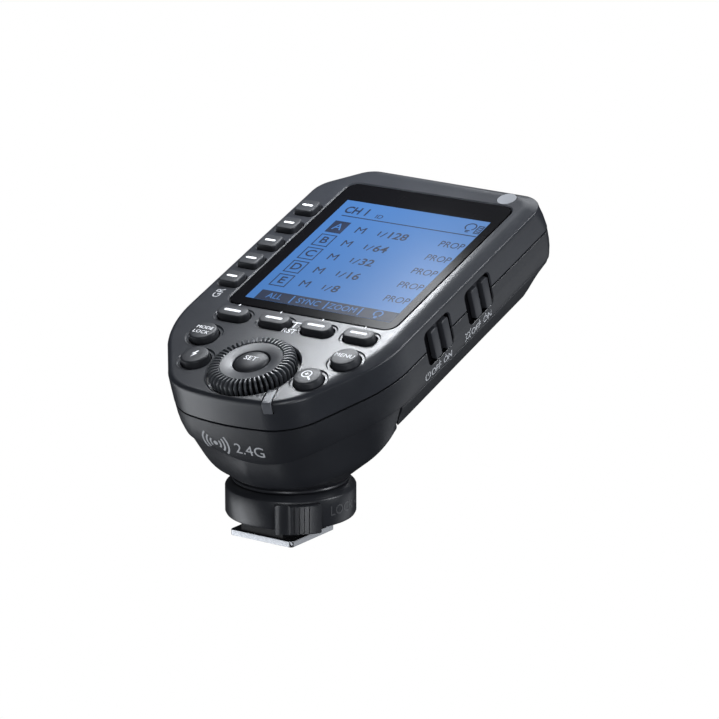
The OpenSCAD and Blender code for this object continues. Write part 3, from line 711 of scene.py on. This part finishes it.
def belly_profile(angle):
    """One line of the belly, from inside the band over a rounded corner to the neck."""
    direction, centre = Vector((math.cos(angle), math.sin(angle))), Vector(BELLY)
    front, side = max(0.0, -direction.y), abs(direction.x)
    rear = clamp(direction.y / 0.34)
    right = clamp((direction.x + 0.45) / 0.9)
    tuck = 0.35 + 1.3 * right * front ** 0.5
    back = seam_reach(BELLY, angle, SEAM_GAP / 2)
    foot = centre + direction * min(reach(outline(1.15, 5), BELLY, angle) - tuck, back)
    top = Vector((foot.x, foot.y, ledge(foot.x, foot.y)))
    neck = neck_point(angle)
    cheek = reach(outline(1.5 + side * mix(4.2, 2.3, right)), BELLY, angle)
    shelf = min(reach(under_outline(0.4), BELLY, angle), back)
    out = centre + direction * mix(cheek, shelf, rear)
    low = UNDER - 0.6 - 3.2 * clamp(side * 1.3)
    corner = Vector((out.x, out.y, mix(low, UNDER - 0.9 * side, rear)))
    ease = 0.25 + 0.5 * front ** 3 - 0.13 * rear
    start, end = corner.lerp(top, ease), corner.lerp(neck, ease)
    curve = [start * (1 - s) ** 2 + corner * 2 * s * (1 - s) + end * s * s
             for s in (k / 10 for k in range(11))]
    return [Vector((foot.x, foot.y, LEDGE + 2.5)), top, top.lerp(start, 0.5), *curve,
            end.lerp(neck, 0.5), neck, neck_point(angle, -0.05, 0.35)]


def belly_rows():
    columns = [belly_profile(angle) for angle in TURN]
    return [[tuple(c[k]) for c in columns] for k in range(len(columns[0]))]


SCREW_HEAD_R = 1.95
SCREW_PLACES = ((-27, 4.5), (24.2, 8.4), (-26.5, 60), (25, 65))


def bay_box():
    """The battery bay around the two cells, open at the bottom."""
    first, second = Box("battery_1"), Box("battery_2")
    low = Vector(map(min, first.low, second.low)) - Vector((0.6, 2.4, 30))
    high = Vector(map(max, first.high, second.high)) + Vector((0.6, 2.4, 0.8))
    low.y = max(low.y, SEAM_ARC_R + SEAM_ARC_U + 0.5)
    return box(low, high)


def build_lower():
    case = mesh_object("lower_shell", loft(band_rows()))
    combine(case, loft(belly_rows()), operation="UNION")
    combine(case, bay_box())
    heads = Box("case_screws").low.z
    combine(case, joined(*(rod(SCREW_HEAD_R, *place, heads - 8, heads + 1.2)
                           for place in SCREW_PLACES)))
    cut_pockets(case)
    for node in ("usb_port", "sync_jack"):
        b = Box(node)
        shape = rounded_rect(b.size.y + 0.1, b.size.z + 0.1, min(b.size.y, b.size.z) / 2, 8)
        rows = [[(x, b.mid.y + y, b.mid.z + z) for y, z in shape] for x in (-LEFT - 2, b.high.x)]
        combine(case, loft(rows))
    lens = Box("af_window")
    shape = rounded_rect(lens.size.x, lens.size.z, 1)
    rows = [[(lens.mid.x + x, y, lens.mid.z + z) for x, z in shape] for y in (lens.low.y, FAR + 2)]
    combine(case, loft(rows))
    even_shading(dress(case, CASE_LOW, "case", ["lower_case"]))


def build_groove():
    """A black core in the joint between the case halves, set back from the walls: painted shade in
    the gap.
    """
    low, high = PARTING - GROOVE - 0.1, PARTING + 0.1
    core = mesh_object("parting_joint", prism(outline(0.75, 5), low, high))
    combine(core, prism(outline(1.6, 5), low - 1, high + 1))
    cut_pockets(core)
    dress(core, SHADOW, "case")


TIER = (-2.0, 30.0)   # the point that the battery cover is drawn round


def near_cutter(u):
    """Everything under the panel on the near side of a line across it."""
    return box((-45, -60, -60), (45, u, 0))


def build_cover():
    """The battery cover: a tray with slanted sides and softened lower edges."""
    top, low = outline(1.3, 5), under_outline(0)

    def ring(share, inset, depth):
        row = []
        for a in TURN:
            r = mix(reach(top, TIER, a), reach(low, TIER, a), share) - inset
            row.append((TIER[0] + r * math.cos(a), TIER[1] + r * math.sin(a), depth))
        return row

    lip = LEDGE - 0.22
    rows = [ring(1, COVER_T + 1, UNDER + COVER_T), ring(0.9, COVER_T, UNDER + COVER_T + 0.4),
            ring(0, COVER_T, lip), ring(0, 0.05, lip), ring(0, 0, lip - 0.05),
            ring(0.05, 0, lip - 0.7), ring(0.5, 0, (lip + UNDER) / 2), ring(0.84, 0, UNDER + 1.2),
            ring(0.93, 0.14, UNDER + 0.55), ring(1, 0.5, UNDER + 0.15), ring(1, 1.1, UNDER)]
    cover = mesh_object("battery_tray", loft(rows))
    combine(cover, near_cutter(SEAM_U + SEAM_GAP))
    combine(cover, rod(SEAM_ARC_R + SEAM_GAP, 0, SEAM_ARC_U, -60, 0, 240))
    even_shading(dress(cover, CASE_LOW, "battery_cover", ["battery_cover"]))


def build_skirt():
    """A low black wall inside the battery cover's rim, behind the joint: painted shade in the
    seam.
    """
    skirt = mesh_object("bay_skirt", prism(outline(3.2, 5), LEDGE - 0.6, LEDGE + 0.5))
    combine(skirt, prism(outline(3.8, 5), LEDGE - 1.6, LEDGE + 1.5))
    combine(skirt, near_cutter(SEAM_U + 12))
    dress(skirt, SHADOW, "case")


build_upper()
build_lower()
build_groove()
build_cover()
build_skirt()

# ------------------------------ display

PANE_TOP = -0.08      # height of the display window's face
LCD_LEFT, LCD_RIGHT = WINDOW.low.x + 3.9, WINDOW.high.x - 2.6
LCD_NEAR, LCD_FAR = WINDOW.low.y + 3.3, WINDOW.high.y - 7.9
LCD_MID = ((LCD_LEFT + LCD_RIGHT) / 2, (LCD_NEAR + LCD_FAR) / 2)
LCD_SIZE = (LCD_RIGHT - LCD_LEFT, LCD_FAR - LCD_NEAR)


def build_window():
    """The glass and, on its face, the display."""
    top = PANE_TOP
    pane = stack(rect_shape(WINDOW.size, WINDOW_CORNER, WINDOW.mid), (0, WINDOW.low.z),
                 (0, top - 0.8), (-0.18, top - 0.7), (-0.18, top - 0.06), (-0.24, top))
    piece("window_pane", pane, GLASS, "case", ["display_window"])
    face = moved(rounded_rect(*LCD_SIZE, 0.2, 3), *LCD_MID)
    piece("lcd_face", prism(face, top - 0.02, top + 0.015), LCD, "case")


def build_lcd_content():
    """The display's dark marks, and the light ones that stand on dark fields."""
    ink, glow = [], []
    height = PANE_TOP + MARK_T
    text_x = LCD_LEFT + 5.4

    def put(form, x, u):
        ink.append(shifted(form, (x, u, height)))

    def put_light(form, x, u):
        glow.append(shifted(form, (x, u, height + MARK_T)))

    put(text_form("CH 1", 3.1, stretch=0.8, weight=0.09), text_x + 0.4, LCD_FAR - 4.3)
    put(text_form("ID", 1.7), text_x + 7.6, LCD_FAR - 5.2)
    left = LCD_LEFT + 2.6
    put(bar(LCD_RIGHT - left - 0.2, 0.34, 0.05), (left + LCD_RIGHT) / 2, LCD_FAR - 7)
    put(bulb_sign(4.1, 0.36), LCD_RIGHT - 3.9, LCD_FAR - 3.7)
    put(frame_form(1.7, 3.6, 0.32), LCD_RIGHT - 1.05, LCD_FAR - 4)
    for k in range(3):
        put(bar(0.8, 0.4, 0.05), LCD_RIGHT - 1, LCD_FAR - 3.1 - 0.9 * k)

    first, pitch, box_mid = LCD_FAR - 12.3, 6.43, left + 2.4
    for k, (group, power) in enumerate(zip("ABCDE", ("128", "64", "32", "16", "8"))):
        u = first - pitch * k
        if k == 0:
            put(bar(4.75, 5.4, 0.05), box_mid, u)
            put_light(text_form(group, 3), box_mid, u)
        else:
            put(frame_form(4.75, 5.4, 0.3), box_mid, u)
            put(text_form(group, 3, weight=0.05), box_mid, u)
        put(text_form("M", 2.9), box_mid + 6.9, u)
        put(text_form("1", 2.0, weight=0.06), box_mid + 12.6, u)
        put(stroke([(-0.35, -1.3), (0.55, 1.1)], 0.34), box_mid + 14, u)
        put(text_form(power, 3, weight=0.06), box_mid + 15.1 + 0.98 * len(power), u)
        put(text_form("PROP", 2.7, stretch=0.8), LCD_RIGHT - 4.1, u)

    soft_u = LCD_NEAR + 2.1
    put(bar(LCD_RIGHT - left, 4.1, 0.05), (left + LCD_RIGHT) / 2, soft_u)
    quarter = (LCD_RIGHT - left) / 4
    for k, word in enumerate(("ALL", "SYNC", "ZOOM")):
        put_light(text_form(word, 2.3, stretch=0.85), left + quarter * (k + 0.48), soft_u)
        put_light(bar(0.4, 3.2, 0.05), left + quarter * (k + 1), soft_u)
    put_light(bulb_sign(3.2, 0.4), left + quarter * 3.5, soft_u)
    piece("lcd_ink_marks", joined(*ink), LCD_INK, "case")
    piece("lcd_light_marks", joined(*glow), LCD, "case")


build_window()
build_lcd_content()

# ------------------------------ keys and labels


def key_cap(shape, low, high, edge, dome):
    """A key cap: straight sides, a rounded edge and a slightly domed face."""
    rim = high - edge - dome
    levels = [(0, low), (0, rim)]
    for k in range(1, 6):
        a = math.radians(18 * k)
        levels.append((edge * (math.cos(a) - 1), rim + edge * math.sin(a)))
    for share in (0.2, 0.4, 0.6, 0.8):
        levels.append((-edge - share * 1.4, high - dome * (1 - share) ** 2))
    return stack(shape, *levels)


def build_key(body, b, corner, edge, dome, sign, kind, dx=0.0, sink=0.0):
    """A button's cap, and the white sign printed on it."""
    cap = key_cap(rect_shape(b.size, corner, b.mid), CAP_LOW, b.high.z, edge, dome)
    piece(body.replace("button", "cap"), cap, KEY, body, [body])
    place = (b.mid.x + dx, b.mid.y, b.high.z - sink + MARK_LIFT)
    piece(body.replace("button", kind), shifted(sign, place), PRINT, body)


CAP_LOW = -2.5        # how deep the key caps reach
ROUND_MARKS = {
    "mode_button": joined(shifted(text_form("MODE", 1.25), (0, 0.95)),
                          shifted(text_form("LOCK", 1.25), (0, -0.95))),
    "test_button": flash_sign(2.9),
    "menu_button": text_form("MENU", 1.5),
    "zoom_button": magnifier_sign(3.7, 0.34),
}

for i, b in enumerate(GROUPS, 1):
    build_key(f"group_button_{i}", b, 1.1, 0.45, 0.06, bar(3.1, 0.75), "bar", dx=0.2)
for i, b in enumerate(FUNCTIONS, 1):
    build_key(f"function_button_{i}", b, 2.3, 0.5, 0.08, bar(4.9, 0.85), "bar")
for name, b in ROUNDS.items():
    build_key(name, b, b.size.x / 2, 0.6, 0.12, ROUND_MARKS[name], "sign", sink=0.03)


def build_panel_marks():
    """The marks on the panel between the keys."""
    first = GROUPS[0]
    group = shifted(text_form("GR", 2.2), (first.mid.x - 0.2, first.mid.y - 6, MARK_LIFT), 90)
    piece("group_mark", group, GREY_PRINT, "case")
    marks = [shifted(text_form("RST", 1.8), (-0.7, 0.5)),
             shifted(bar(3.1, 0.3), (-0.6, 4.3)), shifted(bar(0.3, 2.3), (-0.6, 3.1))]
    marks += [shifted(bar(0.35, 0.75), (b.mid.x - 1.2, WINDOW.low.y - 0.5)) for b in FUNCTIONS]
    piece("panel_marks", shifted(joined(*marks), (0, 0, MARK_LIFT)), PRINT, "case")


PRINT_LIFT = 0.035    # how far a mark's middle stands off a wall that isn't flat


def printed(name, form, place, onto):
    """A thin grey drawing laid onto a piece: its points drop along the drawing's own z axis."""
    tree = BVHTree.FromObject(bpy.data.objects[onto], bpy.context.evaluated_depsgraph_get())
    down = (place.to_3x3() @ Vector((0, 0, -1))).normalized()
    back = place.inverted()
    points = []
    for x, y, z in form[0]:
        hit = tree.ray_cast(place @ Vector((x, y, 20)), down)[0]
        points.append((x, y, (back @ hit).z + z + PRINT_LIFT))
    piece(name, (points, form[1]), GREY_PRINT, "case", place=place)


def build_wall_marks():
    """The switches' printed labels."""
    marks = []
    for b, sign in zip(SWITCHES.values(), (power_sign(2.1, 0.3), lamp_sign(3.1, 0.3))):
        u = b.mid.x
        marks.append(shifted(sign, (u - 8, -14.6)))
        for word, word_u, tick_u in (("OFF", u - 4.2, u - 2.6), ("ON", u + 1.2, u + 0.3)):
            marks += [shifted(text_form(word, 1.85, weight=0.03), (word_u, -14.9)),
                      shifted(bar(0.25, 0.6), (tick_u, -13.5))]
    outward = WALL @ Matrix.Translation((0, 0, RIGHT))
    printed("wall_marks", joined(*marks), outward, "lower_shell")


def build_front_sign():
    """A generic radio-wave sign and the radio band, on the near wall left of the middle."""
    form = joined(shifted(wave_sign(6.6, 0.5), (-6.4, 0)),
                  shifted(text_form("2.4G", 3.2), (3.6, 0)))
    turn = Matrix.Rotation(math.radians(90), 4, "X") @ Matrix.Rotation(math.radians(-3), 4, "Z")
    forward = PANEL @ Matrix.Translation((0.2, -NEAR, -14.9)) @ turn
    printed("front_sign", form, forward, "lower_shell")


build_panel_marks()
build_wall_marks()
build_front_sign()

# ------------------------------ dial


def build_dial():
    """The select dial: a ribbed rim around a satin disc. The ribs are lightened as a painted
    highlight, and a black core fills the gaps between them as painted shade.
    """
    outer, top, u = DIAL.size.x / 2, DIAL.high.z, DIAL.mid.y
    ribs = 50
    core = turned([(3, -4), (outer - 0.9, -2.0), (outer - 0.85, 0.4), (outer - 1.3, 1.0),
                   (outer - 1.8, top - 0.8), (outer - 2.8, top - 0.8), (outer - 3.1, 1.3),
                   (outer - 3.4, 1.3), (3, 1.3)])
    rib_side = [(outer - 3.05, 1.2), (outer - 1.5, -1.6), (outer - 0.35, -1.6),
                (outer - 0.05, -0.9), (outer, top - 1.15), (outer - 0.25, top - 0.65),
                (outer - 0.8, top - 0.18), (outer - 1.35, top), (outer - 2.75, top),
                (outer - 3.0, top - 0.25)]
    # Each rib's rows: place across the rib, and how much its edge is rounded off there.
    rib = loft([[(r - trim, across, z - (trim if z > 1.3 else 0)) for r, z in rib_side]
                for across, trim in ((-0.26, 0.12), (-0.18, 0.02), (-0.1, 0), (0.1, 0),
                                     (0.18, 0.02), (0.26, 0.12))])
    crown = joined(*(shifted(rib, (0, 0), 360 * k / ribs) for k in range(ribs)))
    # The black core is painted shade between the ribs; the ribs' lighter plastic is a painted
    # highlight.
    piece("dial_core", shifted(core, (0, u)), SHADOW, "select_dial", ["select_dial"])
    piece("dial_ribs", shifted(crown, (0, u)), DIAL_RIB_HIGHLIGHT, "select_dial")
    face = turned([(4.6, 0.9), (outer - 3.05, 0.9), (outer - 3.02, top - 0.35),
                   (outer - 3.15, top - 0.22), (outer - 3.4, top - 0.25), (4.95, top - 0.4),
                   (4.75, top - 0.5), (4.6, top - 0.9)])
    piece("dial_disc", shifted(face, (0, u)), DIAL_FACE, "select_dial")


SET_R = 4.3           # radius of the set button's cap, inside the dial's opening


def build_set_button():
    """The set button: a cap with a rounded face, and letters that follow it."""
    r, top, rise = SET_R, SET.high.z, 1.4
    levels = [(r - 0.02, -0.5), (r, top - rise)]
    for k in range(1, 9):
        a = math.radians(10.5 * k)
        levels.append((r - r * (1 - math.cos(a)) * 0.92, top - rise + rise * math.sin(a)))
    cap = stack(lambda radius: moved(circle(radius, 64), SET.mid.x, SET.mid.y), *levels)
    piece("set_cap", cap, KEY, "set_button", ["set_button"])
    points, faces = text_form("SET", 1.7)
    domed = [(x, SET.mid.y + y, top - 0.012 * (x * x + y * y) + z + 0.01) for x, y, z in points]
    piece("set_sign", (domed, faces), PRINT, "set_button")


build_dial()
build_set_button()

# ------------------------------ light pipe, inlay, switches


def build_light_pipe():
    pipe = piece("light_pipe_strip", pipe_form(0), LENS, "case",
                 ["status_light_pipe"], smooth=50)
    edge = pipe.modifiers.new("edge", "BEVEL")
    edge.width = 0.12 * MM
    edge.segments = 2


def build_inlay():
    """A plain round disc, flush with the panel, inside a thin black line that is painted shade in
    its seam.
    """
    x, y = Box("corner_inlay").mid.xy
    disc = turned([(0.02, -0.5), (2.5, -0.5), (2.5, 0.015), (2.42, 0.03), (0.02, 0.03)], 64)
    line = turned([(2.45, -0.4), (2.62, -0.4), (2.62, 0.012), (2.45, 0.012)], 64)
    piece("inlay_disc_piece", shifted(disc, (x, y)), INLAY, "case", ["corner_inlay"])
    piece("inlay_line", shifted(line, (x, y)), SHADOW, "case")


def build_switch(name, b):
    """A slide switch's knob: two pads with a deep groove between them, level with the wall."""
    near, far, floor = b.low.x + 0.4, b.high.x - 0.7, POCKET_FLOOR + 0.12
    groove_u, groove_w = b.low.x + 3.3, 1.75

    def slab(u0, u1, top, edge, corner):
        shape = rect_shape((u1 - u0, b.size.y - 0.6), corner, ((u0 + u1) / 2, b.mid.y - 0.28))
        return stack(shape, (0, floor), (0, top - edge), (-edge * 0.3, top - edge * 0.3),
                     (-edge, top))

    knob = mesh_object(name + "_knob", slab(near, far, RIGHT - 2.2, 0.1, 0.9), WALL)
    stem = box((b.mid.x - 1.1, b.mid.y - 2.4, b.low.z), (b.mid.x + 1.1, b.mid.y - 1, floor + 0.2))
    for part in (slab(near, groove_u, RIGHT - 0.1, 0.26, 0.6),
                 slab(groove_u + groove_w, far, RIGHT + 0.1, 0.3, 0.7), stem):
        combine(knob, part, WALL, "UNION")
    dress(knob, KNOB, name, [name])


def build_pocket(name, b):
    """Painted shade inside a switch's pocket: a black floor and thin black walls."""
    shape = pocket_shape(b)
    outer = prism(shape(-0.01), POCKET_FLOOR - 0.1, RIGHT - 0.36)
    liner = mesh_object(name + "_pocket", outer, WALL)
    combine(liner, prism(shape(-0.1), POCKET_FLOOR + 0.06, RIGHT), WALL)
    dress(liner, SHADOW, "case")


build_light_pipe()
build_inlay()
for switch_name, switch_box in SWITCHES.items():
    build_switch(switch_name, switch_box)
    build_pocket(switch_name, switch_box)

# ------------------------------ foot

WORD_T = 0.12         # thickness of the raised word on the ring


def build_ring():
    """The lock ring, chamfered at both edges, with a finger tab and its grooves."""
    low, high, r, inner = RING.low.z + 0.7, RING.high.z, -RING.low.x, 12.55
    ring = mesh_object("lock_collar", turned(
        [(inner, low + 1.1), (13.7, low + 1.1), (13.7, low), (r - 0.7, low), (r - 0.25, low + 0.2),
         (r, low + 0.7), (r, high - 1.35), (r - 0.15, high - 1.05), (r - 1.35, high - 0.12),
         (r - 1.6, high), (inner, high)], 160), FOOT)

    def tab_shape(grow):
        start, end = -67.5 - grow * 3, -29 + grow * 3
        return arc((0, 0), r + 1.3 + grow, start, end, 16) + arc((0, 0), r - 2, end, start, 16)

    tab_top, soft = high - 1.7, 0.3
    tab = stack(tab_shape, (-soft, RING.low.z), (0, RING.low.z + soft), (0, tab_top - soft),
                (-soft, tab_top))
    combine(ring, tab, FOOT, "UNION")
    notch = box((r + 0.85, -0.2, 0), (r + 3, 0.2, high - 2.2))
    scoop = arc((0, 0), r + 4.6, -61, 0, 1)[0]
    combine(ring, joined(*(shifted(notch, (0, 0), 4.1 * k - 52) for k in range(4)),
                         rod(3.9, *scoop, 0, high, 40)), FOOT)
    dress(ring, RING_PLASTIC, "lock_ring", ["lock_ring"])

    arrow = joined(stroke([(-1, 0), (1, 0)], 0.3, WORD_T),
                   stroke([(0.3, 0.7), (1.1, 0), (0.3, -0.7)], 0.3, WORD_T))
    points, faces = joined(text_form("LOCK", 2.5, WORD_T), shifted(arrow, (6.6, 0)))
    wrapped = [((r + z + 0.02) * math.cos(x / r - 0.035), (r + z + 0.02) * math.sin(x / r - 0.035),
                (low + high) / 2 - 0.4 + y) for x, y, z in points]
    piece("lock_word", (wrapped, faces), RING_WORD, "lock_ring", place=FOOT)


def build_plate():
    """The foot plate with softened edges and its openings."""
    b = Box("shoe_plate", FOOT)
    low, high = b.low.z, b.high.z
    form = stack(rect_shape(b.size, 0.9, b.mid), (-0.25, low), (-0.07, low + 0.07),
                 (0, low + 0.25), (0, high - 0.25), (-0.07, high - 0.07), (-0.25, high))
    plate = mesh_object("foot_plate", form, FOOT)
    block = Box("contact_block", FOOT)
    hole = moved(rounded_rect(block.size.x + 0.1, block.size.y + 0.1, 1), block.mid.x, block.mid.y)
    combine(plate, prism(hole, -1, high + 1), FOOT)
    pin = Box("locking_pin", FOOT)
    bores = [rod(pin.size.x / 2 + 0.05, pin.mid.x, pin.mid.y, -1, high + 1)]
    screws, head_r = Box("shoe_screws", FOOT), 1.6
    for x in (screws.low.x + head_r, screws.high.x - head_r):
        for y in (screws.low.y + head_r, screws.high.y - head_r):
            bores.append(rod(head_r + 0.06, x, y, -1, high + 1))
    combine(plate, joined(*bores), FOOT)
    even_shading(dress(plate, PLATE, "case", ["shoe_plate"]))


def build_neck():
    """The neck: a core for the lock ring, and a rounded collar under the case."""
    neck = turned([(0.02, 5.5), (12.45, 5.5), (12.45, 13.0), (13.5, 13.0), (14.2, 13.2),
                   (14.42, 13.5), (14.3, 13.85), (13.6, 14.1), (13.3, 14.45), (0.02, 14.45)], 144)
    piece("neck_collar", neck, RING_PLASTIC, "case", ["foot_neck"], place=FOOT)


build_ring()
build_plate()
build_neck()

# ------------------------------ stage, lights and camera


def area_light(name, place, target, size, energy, along=(0, 0, 1)):
    """A rectangular lamp that faces a target, with its second side as near as it can to along."""
    lamp = bpy.data.lights.new(name, "AREA")
    lamp.shape = "RECTANGLE"
    lamp.size, lamp.size_y = size
    lamp.energy = energy
    lamp.color = COOL
    thing = new_object(name, lamp)
    back = (Vector(place) - Vector(target)).normalized()
    across = Vector(along).cross(back).normalized()
    turn = Matrix((across, back.cross(across), back)).transposed()
    thing.matrix_world = Matrix.Translation(place) @ turn.to_4x4()


def camera_blend(owner, unseen, seen):
    """Shows one shader to the camera, and another to the rest of the light's paths."""
    blend, path = add_node(owner, "MixShader"), add_node(owner, "LightPath")
    wire(path, "Is Camera Ray", blend, "Fac")
    wire(unseen, 0, blend, 1)
    wire(seen, 0, blend, 2)
    return blend


def build_floor():
    """A floor just under the object, which the camera sees as plain white."""
    half, gap = 3.0, 0.4 * MM
    corners = [(-half, -half, 0), (half, -half, 0), (half, half, 0), (-half, half, 0)]
    floor = mesh_object("studio_floor", (corners, [(0, 1, 2, 3)]),
                        Matrix.Translation((0, 0, CAD_BOUNDS[0][2] - gap)))
    pale, shader = new_material("studio_white")
    fill(shader, Base_Color=(0.8, 0.8, 0.8, 1), Roughness=0.9)
    blend = camera_blend(pale, shader, add_node(pale, "Emission"))
    wire(blend, "Shader", pale.node_tree.nodes["Material Output"], "Surface")
    floor.data.materials.append(pale)
    floor.visible_glossy = floor.visible_diffuse = floor.visible_shadow = False


def build_world():
    """White behind the object, with a dim grey light from all around."""
    world = bpy.data.worlds.new("studio")
    bpy.context.scene.world = world
    world.use_nodes = True
    world.node_tree.nodes.clear()
    soft = add_node(world, "Background", Color=(0.02, 0.021, 0.023, 1))
    white = add_node(world, "Background", Color=(1, 1, 1, 1))
    wire(camera_blend(world, soft, white), "Shader", add_node(world, "OutputWorld"), "Surface")


CAMERA_TARGET = Vector((0.02046, 0, 0.04626))
CAMERA_DISTANCE = 0.94026
CAMERA_AZIMUTH, CAMERA_ELEVATION = math.radians(34.62), math.radians(15.56)
CAMERA_SENSOR, CAMERA_LENS = 36, 196.59


def build_camera():
    """The camera, round from the near side by its azimuth and up by its elevation."""
    level = math.cos(CAMERA_ELEVATION)
    towards = Vector((math.sin(CAMERA_AZIMUTH) * level, -math.cos(CAMERA_AZIMUTH) * level,
                      math.sin(CAMERA_ELEVATION)))
    data = bpy.data.cameras.new("camera")
    data.sensor_width, data.lens = CAMERA_SENSOR, CAMERA_LENS
    data.clip_start, data.clip_end = 0.01, 20
    camera = new_object("camera", data)
    camera.location = CAMERA_TARGET + towards * CAMERA_DISTANCE
    camera.rotation_euler = (-towards).to_track_quat("-Z", "Y").to_euler()
    bpy.context.scene.camera = camera


COOL = (0.93, 0.96, 1.0)
HEART = Vector((0, 0, 0.05))
LAMPS = {
    # Direction from the middle of the body, distance, size and power.
    "back_light": ((-0.2, 0.75, 0.62), 0.65, 0.36, 0.85),
    "low_back_light": ((0.45, 0.79, -0.41), 0.65, 0.36, 0.3),
    "low_left_light": ((-0.84, -0.27, -0.47), 0.65, 0.36, 0.8),
    "edge_light": ((0.52, 0.43, 0.735), 0.5, 0.06, 0.8),
    "top_left_light": ((-0.4, 0.06, 0.91), 0.3, 0.1, 0.28),
    "right_light": ((0.9, 0.36, 0.22), 0.3, 0.1, 0.35),
    "front_light": ((0.45, -0.89, 0.11), 0.3, 0.1, 0.2),
    "low_front_light": ((-0.62, -0.6, -0.45), 0.35, 0.24, 0.36),
    "tab_light": ((0.83, -0.48, -0.27), 0.4, 0.1, 0.27),
}


def build_lamps():
    for name, (direction, distance, size, power) in LAMPS.items():
        spot = HEART + Vector(direction).normalized() * distance
        area_light(name, spot, HEART, (size, size), power)
    # A long lamp whose mirror image lies along the panel's right side.
    sheen, way = PANEL @ Vector((RIGHT - 3, -4, 0)), Vector((-0.547, 0.443, 0.709))
    area_light("sheen_light", sheen + way * 0.11, sheen, (0.012, 0.062), 0.09,
               along=PANEL.to_3x3() @ Vector((0, 1, 0)))


build_floor()
build_world()
build_camera()
build_lamps()
bpy.context.scene.view_settings.view_transform = "Standard"
